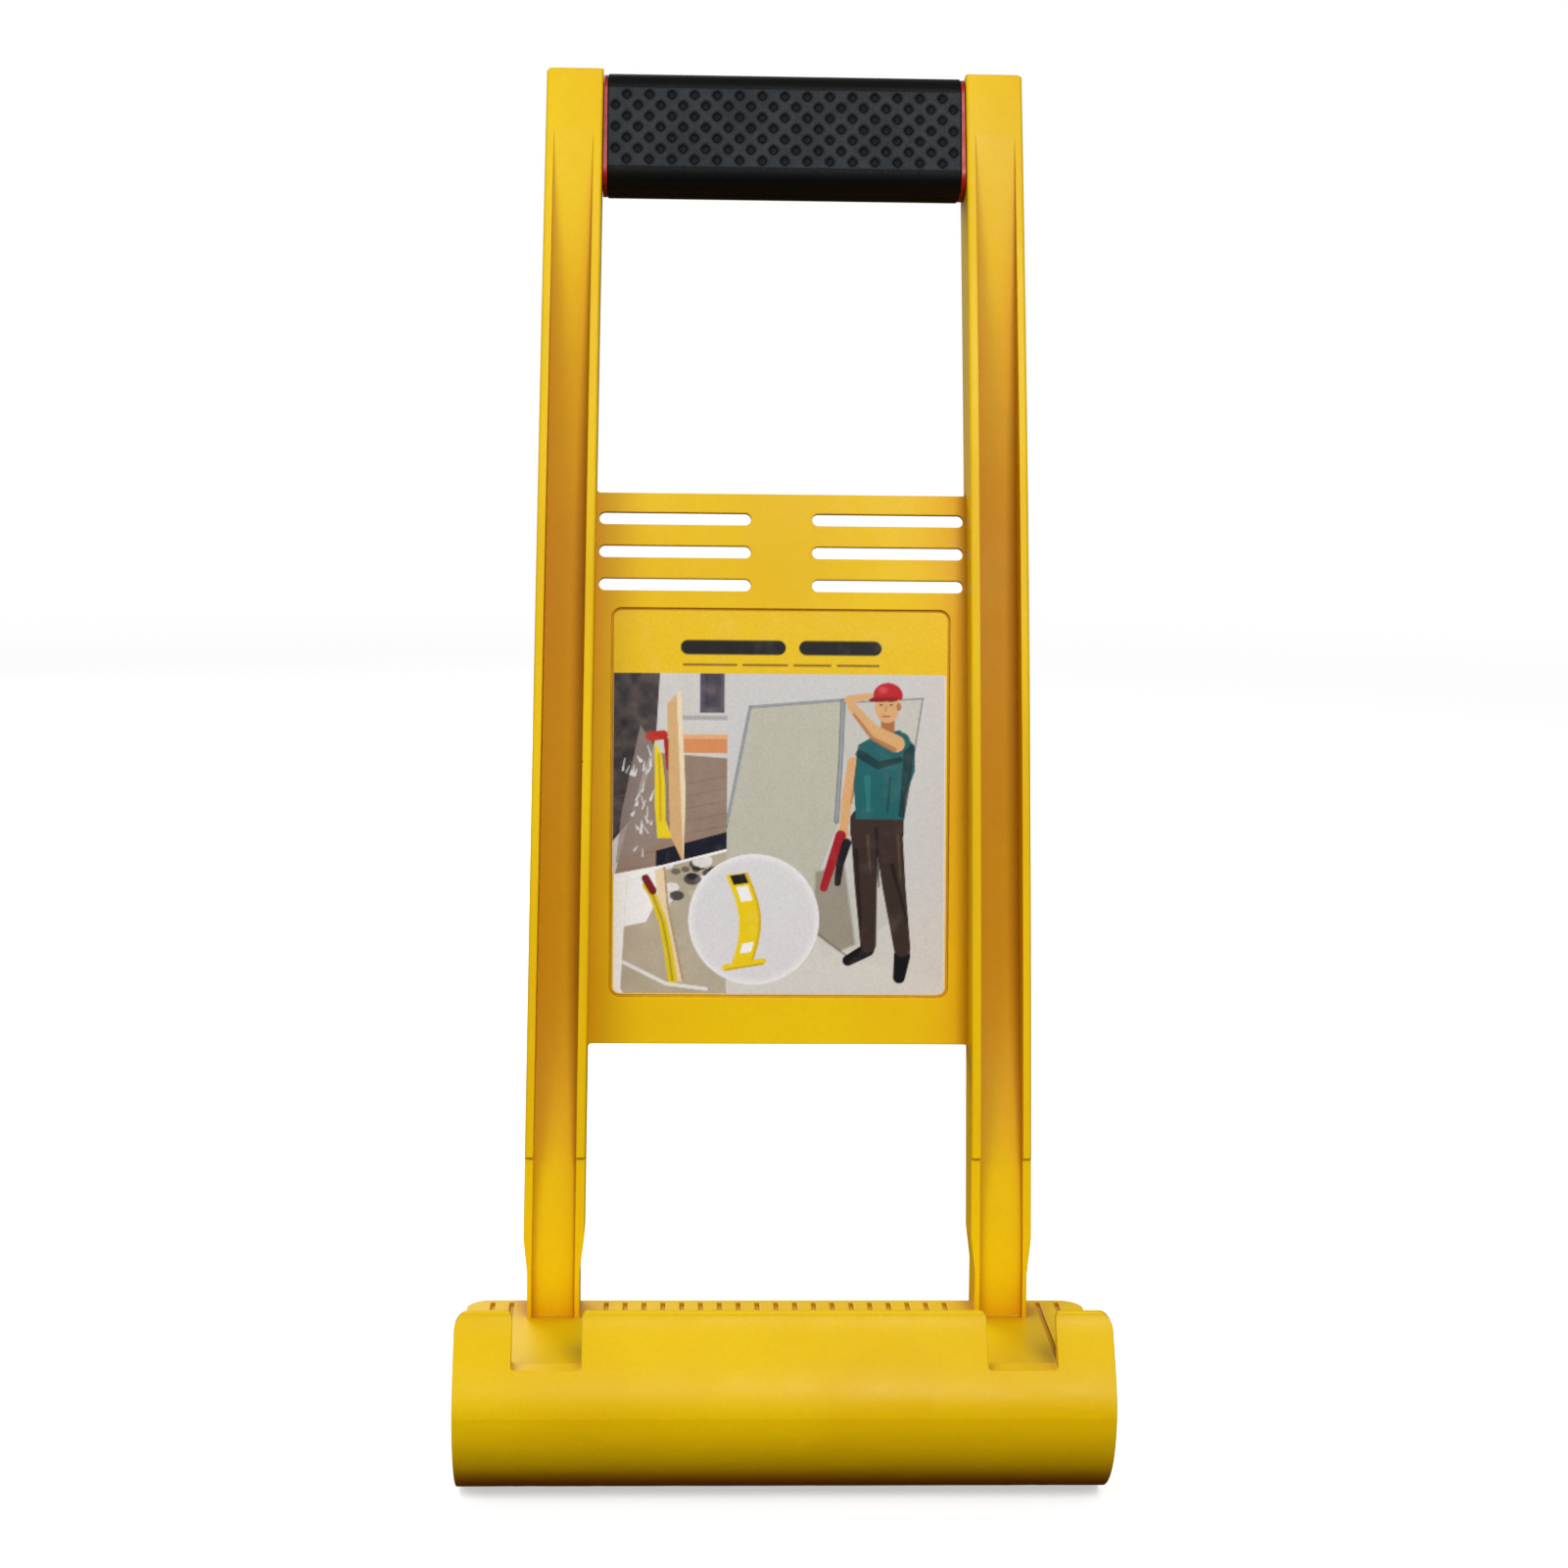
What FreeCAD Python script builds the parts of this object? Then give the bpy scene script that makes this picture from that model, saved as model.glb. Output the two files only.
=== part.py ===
import FreeCAD, Part
import math
import os

from FreeCAD import Placement, Rotation, Vector

# Board carrier (drywall lift): a yellow moulded frame with a wide foot whose tray holds the lower edge of a
# board, and a two-part rubber-covered grip round the crossbar at the top.
# Millimetres. X runs along the foot, -Y faces the board side, +Z is up, z = 0 is the foot's flat bottom.

# ---- driving dimensions ----
overall_height = 373.3
foot_width = 170.0

# foot; places along Y count from the rails' front at the tray floor, negative towards the board
floor_height = 36.3
floor_thickness = 3.0
floor_rear = 16.6
tray_width = 42.6
lip_height = 17.0
lip_top_thickness = 2.0
floor_front = -36.8
nose_front = -57.6
nose_height = 29.0
sill_height = 40.3
land_front = -19.6
land_rear = 14.0
wall = 3.0

# the rails draw together towards the top: half-widths at the tray floor and at the top
rail_outer_base = 69.5
rail_outer_top = 65.3
rail_inner_base = 53.0
rail_inner_top = 49.8
lean_base = 4.0
lean_top = 15.6
rail_depth_base = 16.6
rail_depth_middle = 19.0
rail_depth_top = 20.0
flange_outer = 2.3
flange_inner = 2.5
web_thickness = 2.5
neck_top = 58.2
neck_low = 48.8
neck_in = 1.1

panel_bottom = 110.1
panel_top = 260.7
panel_depth = 12.5
panel_thickness = 2.5

grip_height = 32.4
grip_depth = 18.4
grip_radius = 5.2
grip_centre_height = 357.9
grip_centre_depth = 10.0
skin_thickness = 2.2
core_thickness = 1.8

# The frame's front is an arc in the YZ plane. It leaves the tray floor at y = 0 and leans back more and more.
sine_base = math.sin(math.radians(lean_base))
sine_top = math.sin(math.radians(lean_top))
bow_radius = (overall_height - floor_height) / (sine_top - sine_base)
bow_y = bow_radius * math.cos(math.radians(lean_base))
bow_z = floor_height - bow_radius * sine_base

# The origin is the middle of the flat land under the foot.
origin_shift = -(land_front + land_rear) / 2.0


# ---- geometry helpers ----
def lean_at(height):
    """Lean of the frame from the vertical, in radians, at a height on its front arc."""
    return math.asin((height - bow_z) / bow_radius)


def frame_point(depth, height):
    """Point a given depth behind the front arc, square to it, at a given height on that arc."""
    lean = lean_at(height)
    reach = bow_radius - depth
    return Vector(0, bow_y - reach * math.cos(lean), bow_z + reach * math.sin(lean))


def local_place(depth, height, x=0.0):
    """Placement whose X stays X, whose Y points back square to the frame and whose Z points up along it."""
    turn = Rotation(Vector(1, 0, 0), -math.degrees(lean_at(height)))
    return Placement(frame_point(depth, height) + Vector(x, 0, 0), turn)


def frame_arc(depths, heights):
    """Arc through three frame points."""
    points = [frame_point(depth, height) for depth, height in zip(depths, heights)]
    return Part.Arc(points[0], points[1], points[2]).toShape()


def prism(edges, x_low, x_high):
    """Solid swept along X from a closed outline in the YZ plane."""
    face = Part.Face(Part.Wire(edges))
    face.translate(Vector(x_low, 0, 0))
    return face.extrude(Vector(x_high - x_low, 0, 0))


def line(start, end):
    return Part.LineSegment(start, end).toShape()


def polygon(points):
    """Closed straight-sided outline."""
    return [line(a, b) for a, b in zip(points, points[1:] + points[:1])]


def band(depth_front, depth_rear, low, high, x_low, x_high):
    """Curved slab between two depths and two heights of the bowed frame."""
    middle = (low + high) / 2.0
    front = frame_arc([depth_front] * 3, [low, middle, high])
    rear = frame_arc([depth_rear] * 3, [high, middle, low])
    top = line(frame_point(depth_front, high), frame_point(depth_rear, high))
    bottom = line(frame_point(depth_rear, low), frame_point(depth_front, low))
    return prism([front, top, rear, bottom], x_low, x_high)


def rounded_outline(width, height, radius, plane):
    """Edges of a rounded rectangle centred on zero. plane turns two coordinates into a vector."""
    half_w = width / 2.0
    half_h = height / 2.0
    edges = []
    corners = ((1, 1, 0.0), (-1, 1, 90.0), (-1, -1, 180.0), (1, -1, 270.0))
    ends = []
    for side_w, side_h, start in corners:
        centre_w = side_w * (half_w - radius)
        centre_h = side_h * (half_h - radius)
        points = []
        for angle in (start, start + 45.0, start + 90.0):
            turn = math.radians(angle)
            points.append(plane(centre_w + radius * math.cos(turn), centre_h + radius * math.sin(turn)))
        ends.append(points)
    for index, points in enumerate(ends):
        following = ends[(index + 1) % len(ends)][0]
        edges.append(Part.Arc(points[0], points[1], points[2]).toShape())
        if points[2].distanceToPoint(following) > 1e-6:
            edges.append(line(points[2], following))
    return edges


def plate(width, height, radius, thickness):
    """Rounded plate in the XZ plane, centred on zero, running from y = 0 to y = thickness."""
    face = Part.Face(Part.Wire(rounded_outline(width, height, radius, lambda a, b: Vector(a, 0, b))))
    return face.extrude(Vector(0, thickness, 0))


def bar(depth, height, radius, x_low, x_high):
    """Rounded bar along X, centred on the X axis."""
    edges = rounded_outline(depth, height, radius, lambda a, b: Vector(0, a, b))
    return prism(edges, x_low, x_high)


def box(x_low, x_high, y_low, y_high, z_low, z_high):
    return Part.makeBox(x_high - x_low, y_high - y_low, z_high - z_low, Vector(x_low, y_low, z_low))


def rod_y(radius, y_low, y_high, x=0.0, z=0.0):
    """Round bar along Y."""
    return Part.makeCylinder(radius, y_high - y_low, Vector(x, y_low, z), Vector(0, 1, 0))


def corner_spare(radius, length, axis):
    """What rounding takes off a square edge: the edge is at zero, and the stock is on the negative sides."""
    square = Part.makeBox(radius, radius, length, Vector(-radius, -radius, 0))
    spare = square.cut(Part.makeCylinder(radius, length, Vector(-radius, -radius, 0)))
    if axis == "y":
        # across the XZ plane, running along +Y
        spare.rotate(Vector(0, 0, 0), Vector(1, 0, 0), 90.0)
        spare.translate(Vector(0, length, 0))
    return spare


def inner_side(height):
    """Half-width between the rails at a height above the ground."""
    share = (height - floor_height) / (overall_height - floor_height)
    return rail_inner_base + share * (rail_inner_top - rail_inner_base)


def outer_side(height):
    """Half-width over the rails at a height above the ground."""
    share = (height - floor_height) / (overall_height - floor_height)
    return rail_outer_base + share * (rail_outer_top - rail_outer_base)


def rail_wedge(inner_inset, outer_inset, upright_neck=False):
    """Tall block between the rail's sides, brought in by the insets. The neck can be upright or tapering."""
    far = 200.0
    low = -10.0
    high = overall_height + 10.0
    outline = [
        Vector(outer_side(high) - outer_inset, -far, high),
        Vector(inner_side(high) + inner_inset, -far, high),
    ]
    if upright_neck:
        outline.append(Vector(inner_side(neck_low) + inner_inset, -far, neck_low))
        outline.append(Vector(inner_side(neck_low) + inner_inset, -far, low))
        outline.append(Vector(outer_side(neck_low) - outer_inset, -far, low))
        outline.append(Vector(outer_side(neck_low) - outer_inset, -far, neck_low))
    else:
        outline.append(Vector(inner_side(low) + inner_inset, -far, low))
        outline.append(Vector(outer_side(low) - outer_inset, -far, low))
    return Part.Face(Part.Wire(polygon(outline))).extrude(Vector(0, 2.0 * far, 0))


def mirrored(shape):
    """The same shape on the other side of the middle plane."""
    return shape.mirror(Vector(0, 0, 0), Vector(1, 0, 0))


def both_sides(shape):
    return [shape, mirrored(shape)]


# ---- foot ----
notch_inner = 52.2
notch_outer = 70.2
lip_top = floor_height + lip_height


def at(y, z):
    return Vector(0, y, z)


def quarter_curve(start, end):
    """Quarter of an oval: leaves start straight down and reaches end level."""
    pull = 0.5523
    curve = Part.BezierCurve()
    first = Vector(0, start.y, start.z + pull * (end.z - start.z))
    second = Vector(0, end.y + pull * (start.y - end.y), end.z)
    curve.setPoles([start, first, second, end])
    return curve.toShape()


def rounded_turn(start, corner, end):
    """Arc that turns a square corner between two points."""
    centre = start + end - corner
    middle = centre + (corner - centre).normalize() * start.distanceToPoint(centre)
    return Part.Arc(start, middle, end).toShape()


def swept_curve(start, leave, arrive, end):
    """Smooth curve from start to end, heading along leave at first and along arrive at last."""
    curve = Part.BezierCurve()
    curve.setPoles([start, start + leave, end - arrive, end])
    return curve.toShape()


def foot_solid():
    """Hollow foot: flat floor, a lip leaning over it, and a front that swells to a nose and curls under."""
    lip_in = -tray_width
    top_round = lip_top_thickness / 2.0
    floor_end = at(floor_rear, floor_height)
    floor_turn = at(floor_front, floor_height)
    lip_shoulder = at(lip_in, lip_top - top_round)
    lip_crown = at(lip_in - top_round, lip_top)
    lip_brow = at(lip_in - lip_top_thickness, lip_top - top_round)
    inside_leave = at(-17.2, 0)
    inside_arrive = at(2.0, 6.3)
    outside_leave = at(-1.5, -5.0)
    outside_arrive = at(0, -9.0)
    nose = at(nose_front, nose_height)
    heel = at(land_front, 0)
    land_end = at(land_rear, 0)
    toe = at(land_rear, wall)
    under_floor = at(floor_rear, floor_height - floor_thickness)
    outline = [
        line(floor_end, floor_turn),
        swept_curve(floor_turn, inside_leave, inside_arrive, lip_shoulder),
        rounded_turn(lip_shoulder, at(lip_in, lip_top), lip_crown),
        rounded_turn(lip_crown, at(lip_in - lip_top_thickness, lip_top), lip_brow),
        swept_curve(lip_brow, outside_leave, outside_arrive, nose),
        quarter_curve(nose, heel),
        line(heel, land_end),
        line(land_end, toe),
        line(toe, under_floor),
        line(under_floor, floor_end),
    ]
    foot = prism(outline, -foot_width / 2.0, foot_width / 2.0)

    # hollow cells under the floor, open to the rear, with upright ribs left between them
    end_wall = 2.5
    rib = 2.0
    rib_places = (-70.0, -52.5, -17.5, 17.5, 52.5, 70.0)
    past_rear = floor_rear + 10.0
    ceiling = floor_height - floor_thickness
    slope = ceiling - nose_height
    cell_nose = at(nose_front + wall, nose_height)
    cell_brow = at(nose_front + wall + slope, ceiling)
    cell_heel = at(land_front, wall)
    cell = [
        quarter_curve(cell_nose, cell_heel),
        line(cell_heel, at(past_rear, wall)),
        line(at(past_rear, wall), at(past_rear, ceiling)),
        line(at(past_rear, ceiling), cell_brow),
        line(cell_brow, cell_nose),
    ]
    starts = [end_wall - foot_width / 2.0] + [place + rib / 2.0 for place in rib_places]
    stops = [place - rib / 2.0 for place in rib_places] + [foot_width / 2.0 - end_wall]
    cells = [prism(cell, start, stop) for start, stop in zip(starts, stops)]
    return foot.cut(cells)


def lip_notch():
    """One opening through the lip down to a low sill, with small rounds at its upper and lower corners."""
    low_round = 0.7
    high_round = 2.0
    front = nose_front - wall
    middle = (notch_inner + notch_outer) / 2.0
    width = notch_outer - notch_inner
    reach = -tray_width - front
    height = lip_height + 2.0 * low_round
    opening = plate(width, 2.0 * height, low_round, reach)
    opening.translate(Vector(middle, front, sill_height + height))
    flares = []
    for side in (-1, 1):
        spare = corner_spare(high_round, reach, "y")
        if side > 0:
            spare.rotate(Vector(0, 0, 0), Vector(0, 0, 1), 180.0)
            spare.translate(Vector(0, reach, 0))
        spare.translate(Vector(middle + side * width / 2.0, front, lip_top))
        flares.append(spare)
    return opening.fuse(flares)


def floor_grooves():
    """Fine grooves along Y over the tray floor, left out on the smooth pads in front of the rails."""
    pitch = 5.2
    groove_width = 1.2
    groove_depth = 0.8
    margin = 2.0
    front = floor_front + margin
    rear = floor_rear - margin
    low = floor_height - groove_depth
    high = floor_height + margin
    half = groove_width / 2.0
    count = int((foot_width / 2.0 - margin) / pitch)
    grooves = []
    for index in range(-count, count + 1):
        x = index * pitch
        clear_of_pad = abs(x) < notch_inner - margin or abs(x) > notch_outer + margin
        if clear_of_pad:
            grooves.append(box(x - half, x + half, front, rear, low, high))
    return grooves


def foot_rounding():
    """Rounds at the lip's upper outer corners and at the floor's rear corners in plan."""
    lip_corner = 4.5
    rear_corner = 6.7
    spare = 1.0
    front = nose_front - spare
    upper = corner_spare(lip_corner, floor_front - front, "y")
    upper.translate(Vector(foot_width / 2.0, front, lip_top))
    rear = corner_spare(rear_corner, floor_height + 2.0 * spare, "z")
    rear.translate(Vector(foot_width / 2.0, floor_rear, -spare))
    return both_sides(upper) + both_sides(rear)


# ---- side rails ----
# height on the front arc and how far the web sits behind the flanges there
web_line = (
    (366.0, -0.4),
    (350.0, 0.5),
    (332.0, 2.4),
    (300.0, 6.5),
    (262.0, 10.2),
    (200.0, 11.5),
    (135.0, 11.0),
    (102.0, 8.0),
    (78.0, 4.2),
    (58.0, 3.0),
    (32.0, 3.0),
)
rail_root = floor_height - 1.5
blank_low = 40.0
blank_high = 85.0


def web_curve(extra_depth, least_depth):
    """Smooth curve down the web, moved back by extra_depth and never in front of least_depth."""
    points = []
    for height, depth in web_line:
        points.append(frame_point(max(depth + extra_depth, least_depth), height))
    curve = Part.BSplineCurve()
    curve.interpolate(points)
    return curve.toShape(), points[0], points[-1]


def channel_cutter():
    """The open channel in the rail's front. Its straight outer edge stays clear of the forward bow."""
    out = 30.0
    curve, top, bottom = web_curve(0.0, -1.0)
    out_top = frame_point(-out, web_line[0][0])
    out_bottom = frame_point(-out, web_line[-1][0])
    edges = [curve, line(bottom, out_bottom), line(out_bottom, out_top), line(out_top, top)]
    return prism(edges, blank_low, blank_high).common(rail_wedge(flange_inner, flange_outer, True))


def pocket_cutter():
    """The hollow behind the web, open to the rear, with cross ribs left in it."""
    rib = 1.6
    rib_pitch = 27.0
    rib_first = 64.0
    deep = 40.0
    spare = 1.0
    cap_height = overall_height - wall
    curve, top, bottom = web_curve(web_thickness, web_thickness)
    crown = frame_point(web_thickness, cap_height)
    out_top = frame_point(deep, cap_height)
    out_bottom = frame_point(deep, web_line[-1][0])
    edges = [curve, line(bottom, out_bottom), line(out_bottom, out_top)]
    edges += [line(out_top, crown), line(crown, top)]
    pocket = prism(edges, blank_low, blank_high).common(rail_wedge(flange_inner, flange_outer, True))
    ribs = []
    height = rib_first
    while height < grip_centre_height - grip_height / 2.0:
        low = height - rib / 2.0
        high = height + rib / 2.0
        ribs.append(band(0.0, deep + spare, low, high, blank_low - spare, blank_high + spare))
        height += rib_pitch
    return pocket.cut(ribs)


def rail_solid():
    """The rail on the +X side."""
    edge_round = 0.8
    top_corner = 1.5
    middle = (rail_root + overall_height) / 2.0
    heights = (rail_root, middle, overall_height)
    front = frame_arc((0.0, 0.0, 0.0), heights)
    rear_depths = (rail_depth_top, rail_depth_middle, rail_depth_base)
    rear = frame_arc(rear_depths, heights[::-1])
    front_top = frame_point(0.0, overall_height)
    rear_top = frame_point(rail_depth_top, overall_height)
    front_low = frame_point(0.0, rail_root)
    rear_low = frame_point(rail_depth_base, rail_root)
    rail = prism([front, line(front_top, rear_top), rear, line(rear_low, front_low)], blank_low, blank_high)
    rail = rail.common(rail_wedge(0.0, 0.0))
    tall = 0.5 * overall_height
    long_edges = [edge for edge in rail.Edges if edge.Length > tall]
    rail = rail.makeFillet(edge_round, long_edges)

    # rounded upper outer corner, square to the leaning end
    corner = corner_spare(top_corner, 4.0 * rail_depth_top, "y")
    corner.translate(Vector(0, -rail_depth_top, 0))
    corner.Placement = local_place(0.0, overall_height, outer_side(overall_height)).multiply(corner.Placement)

    # below the step the flanges stand less proud, and the rail narrows to an upright neck above the tray
    step_height = 80.5
    step_depth = 1.2
    step = band(-step_depth, step_depth, rail_root - step_depth, step_height, blank_low, blank_high)
    reach = 12.0
    behind = 36.0
    spare = 3.0
    low = rail_root - spare
    trims = []
    for side, outward in ((outer_side, 1.0), (inner_side, -1.0)):
        outline = [
            Vector(side(neck_top) + outward * spare, -reach, neck_top),
            Vector(side(neck_top), -reach, neck_top),
            Vector(side(neck_low) - outward * neck_in, -reach, neck_low),
            Vector(side(neck_low) - outward * neck_in, -reach, low),
            Vector(side(neck_low) + outward * spare, -reach, low),
        ]
        face = Part.Face(Part.Wire(polygon(outline)))
        trims.append(face.extrude(Vector(0, reach + behind, 0)))
    return rail.cut([corner, step, channel_cutter(), pocket_cutter()] + trims)


# ---- panel between the rails ----
slot_heights = (235.8, 244.8, 253.8)
slot_inner = 8.4
slot_outer = 50.2
slot_height = 3.4
recess_width = 93.4
recess_bottom = 122.8
recess_top = 229.8
recess_radius = 3.0
recess_depth = 0.9
label_margin = 0.7
label_thickness = 0.3


def panel_solid():
    lap = 0.5
    side = inner_side(panel_bottom) + lap
    rear = panel_depth + panel_thickness
    panel = band(panel_depth, rear, panel_bottom, panel_top, -side, side)

    # turned edges stiffen the panel behind, above and below
    turn = 3.0
    edge = 2.0
    top_edge = band(rear, rear + turn, panel_top - edge, panel_top, -side, side)
    bottom_edge = band(rear, rear + turn, panel_bottom, panel_bottom + edge, -side, side)
    return panel.fuse([top_edge, bottom_edge])


def panel_slots():
    """Three rounded slots on each side of the middle."""
    length = slot_outer - slot_inner
    slots = []
    for height in slot_heights:
        slot = plate(length, slot_height, slot_height / 2.0, 3.0 * panel_thickness)
        slot.Placement = local_place(panel_depth - panel_thickness, height, (slot_inner + slot_outer) / 2.0)
        slots += both_sides(slot)
    return slots


def recess_block(margin, depth_front, depth_rear):
    """Rounded rectangle of the label recess, following the panel's bow, between two depths."""
    reach = 30.0
    spare = 5.0
    height = recess_top - recess_bottom
    middle = (recess_top + recess_bottom) / 2.0
    block = plate(recess_width - 2.0 * margin, height - 2.0 * margin, recess_radius - margin, reach)
    block.Placement = local_place(0.0, middle)
    low = recess_bottom - spare
    high = recess_top + spare
    shell = band(depth_front, depth_rear, low, high, -recess_width, recess_width)
    return block.common(shell)


def window_corners():
    """Small rounds where the panel's upper and lower edges meet the rails."""
    radius = 1.2
    lap = 0.1
    fills = []
    for height, upward in ((panel_top, 1), (panel_bottom, -1)):
        spare = corner_spare(radius, panel_thickness, "y")
        if upward > 0:
            spare = spare.mirror(Vector(0, 0, 0), Vector(0, 0, 1))
        corner = local_place(panel_depth, height, inner_side(height) + lap)
        spare.Placement = corner.multiply(spare.Placement)
        fills += both_sides(spare)
    return fills


# ---- crossbar and grip ----
# The grip is built along X about its own centre line, then leaned back with the frame.
clearance = 0.2
core_depth = grip_depth - 2.0 * skin_thickness
core_height = grip_height - 2.0 * skin_thickness
core_radius = grip_radius - skin_thickness
hollow_depth = core_depth - 2.0 * core_thickness
hollow_height = core_height - 2.0 * core_thickness
hollow_radius = core_radius - core_thickness
collar = 1.1
skin_half = rail_inner_top - collar
screw_pitch = 34.0
screw_places = (-screw_pitch, 0.0, screw_pitch)
post_radius = 3.6
shank_radius = 1.75
head_radius = 3.4
head_height = 2.0
thread_length = 11.5
pilot_depth = 9.0
pilot_gap = 0.03
hole_gap = 0.15
opening_radius = head_radius + 0.5
core_parting = 0.05
skin_parting = 0.15
grip_place = local_place(grip_centre_depth, grip_centre_height)


def in_place(shape):
    shape.Placement = grip_place.multiply(shape.Placement)
    return shape


def crossbar_solid():
    """Channel bar joining the rails, open to the rear, hidden inside the grip."""
    lap = 1.5
    half = inner_side(grip_centre_height) + lap
    depth = hollow_depth - 2.0 * clearance
    height = hollow_height - 2.0 * clearance
    solid = bar(depth, height, hollow_radius - clearance, -half, half)
    rib = 2.0
    rib_place = screw_pitch / 2.0
    starts = (-rail_inner_top, rib / 2.0 - rib_place, rib / 2.0 + rib_place)
    stops = (-rib / 2.0 - rib_place, rib_place - rib / 2.0, rail_inner_top)
    inner_height = height / 2.0 - wall
    cuts = []
    for low, high in zip(starts, stops):
        cuts.append(box(low, high, wall - depth / 2.0, depth, -inner_height, inner_height))
    holes = [rod_y(post_radius + clearance, -depth, 0.0, place) for place in screw_places]
    return in_place(solid.cut(cuts + holes))


def half_space(side, gap):
    """Everything in front of (side -1) or behind (side 1) the grip's parting plane."""
    far = 60.0
    if side < 0:
        return box(-far, far, -far, -gap, -far, far)
    return box(-far, far, gap, far, -far, far)


def grip_core(side):
    """Half of the hard shell. Its collars show past the rubber and follow the rails' tapering sides."""
    step = 0.3
    lap = 0.5
    pad = 1.0
    blank_half = inner_side(0.0)
    shell = bar(core_depth, core_height, core_radius, -blank_half, blank_half)
    collars = []
    for low, high in ((-blank_half, -skin_half), (skin_half, blank_half)):
        collars.append(bar(grip_depth - 2.0 * step, grip_height - 2.0 * step, grip_radius - step, low, high))
    hollow = bar(hollow_depth, hollow_height, hollow_radius, -blank_half - lap, blank_half + lap)
    shell = shell.fuse(collars).cut(hollow).common(half_space(side, core_parting))
    inner_wall = hollow_depth / 2.0
    post_end = inner_wall - pad
    if side < 0:
        posts = [rod_y(post_radius, -inner_wall - lap, post_end, place) for place in screw_places]
        bottom = post_end - pilot_depth
        pilots = [rod_y(shank_radius + pilot_gap, bottom, post_end + lap, place) for place in screw_places]
        shell = shell.fuse(posts).cut(pilots)
    else:
        pads = [rod_y(post_radius, post_end + clearance, inner_wall + lap, place) for place in screw_places]
        holes = [rod_y(shank_radius + hole_gap, 0.0, grip_depth, place) for place in screw_places]
        shell = shell.fuse(pads).cut(holes)
    return in_place(shell).cut(both_sides(rail_wedge(-clearance, 0.0)))


def grip_pits(side):
    """Staggered diamond pits in the rubber's front or rear face, with none near the screws' openings."""
    rows = 7
    row_pitch = 3.05
    pit_pitch = 6.2
    pit_half = 1.6
    pit_depth = 0.8
    face = side * grip_depth / 2.0
    columns = int(skin_half / pit_pitch)
    pits = []
    for row in range(rows):
        z = (row - (rows - 1) / 2.0) * row_pitch
        shift = pit_pitch / 2.0 if row % 2 else 0.0
        for column in range(-columns - 1, columns + 1):
            x = column * pit_pitch + shift
            to_screw = min(math.hypot(x - place, z) for place in screw_places)
            by_screw = side > 0 and to_screw < opening_radius + 1.5 * pit_half
            if abs(x) < skin_half - pit_half and not by_screw:
                rim = [
                    Vector(x - pit_half, face, z),
                    Vector(x, face, z - pit_half),
                    Vector(x + pit_half, face, z),
                    Vector(x, face, z + pit_half),
                ]
                tip = Vector(x, face - side * pit_depth, z)
                sides = [Part.Face(Part.Wire(polygon([a, b, tip]))) for a, b in zip(rim, rim[1:] + rim[:1])]
                sides.append(Part.Face(Part.Wire(polygon(rim))))
                pits.append(Part.Solid(Part.Shell(sides)))
    return pits


def grip_skin(side):
    """Half of the rubber cover, with pits in its face. The rear half lets the screws through."""
    lap = 1.0
    outer = bar(grip_depth, grip_height, grip_radius, -skin_half, skin_half)
    inner = bar(core_depth, core_height, core_radius, -skin_half - lap, skin_half + lap)
    skin = outer.cut(inner).common(half_space(side, skin_parting)).cut(grip_pits(side))
    if side > 0:
        skin = skin.cut([rod_y(opening_radius, 0.0, grip_depth, place) for place in screw_places])
    return in_place(skin)


def grip_screw(x):
    """Pan-head self-tapping screw with a cross recess, head to the rear."""
    head_round = 0.8
    taper = 3.0
    tip_radius = 0.4
    lap = 0.5
    seat = core_depth / 2.0
    top = seat + head_height
    head = Part.makeCylinder(head_radius, head_height, Vector(x, seat, 0), Vector(0, 1, 0))
    rim = [edge for edge in head.Edges if abs(edge.CenterOfMass.y - top) < 1e-6]
    head = head.makeFillet(head_round, rim[:1])
    taper_start = seat - thread_length + taper
    shank = rod_y(shank_radius, taper_start, seat + lap, x)
    tip = Part.makeCone(shank_radius, tip_radius, taper, Vector(x, taper_start, 0), Vector(0, -1, 0))
    screw = head.fuse([shank, tip])
    arm = 2.0
    slim = 0.45
    deep = 1.3
    across = box(x - arm, x + arm, top - deep, top + lap, -slim, slim)
    upright = box(x - slim, x + slim, top - deep, top + lap, -arm, arm)
    return in_place(screw.cut([across, upright]))


# ---- the separate pieces ----
def frame_body():
    foot = foot_solid().cut([lip_notch(), mirrored(lip_notch())])
    foot = foot.cut(floor_grooves())
    foot = foot.cut(foot_rounding())
    rail = rail_solid()
    panel = panel_solid()
    body = foot.fuse([rail, mirrored(rail), panel, crossbar_solid()] + window_corners())
    body = body.cut(panel_slots())
    body = body.cut(recess_block(0.0, panel_depth - 1.0, panel_depth + recess_depth))
    return body.removeSplitter()


def label_sheet():
    back = panel_depth + recess_depth
    return recess_block(label_margin, back - label_thickness, back)


nodes = {
    "frame_body": frame_body(),
    "grip_core_front": grip_core(-1),
    "grip_core_rear": grip_core(1),
    "grip_skin_front": grip_skin(-1),
    "grip_skin_rear": grip_skin(1),
    "grip_screws": Part.makeCompound([grip_screw(place) for place in screw_places]),
    "label_sheet": label_sheet(),
}

os.makedirs("parts", exist_ok=True)
for name, shape in nodes.items():
    shape.translate(Vector(0, origin_shift, 0))
    shape.exportStep("parts/" + name + ".step")
    print(name, len(shape.Solids), "solids, valid:", shape.isValid(), round(shape.Volume / 1000.0, 1), "cm3")
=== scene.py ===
import math

import bpy
import numpy as np
from mathutils import Matrix, Vector


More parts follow.
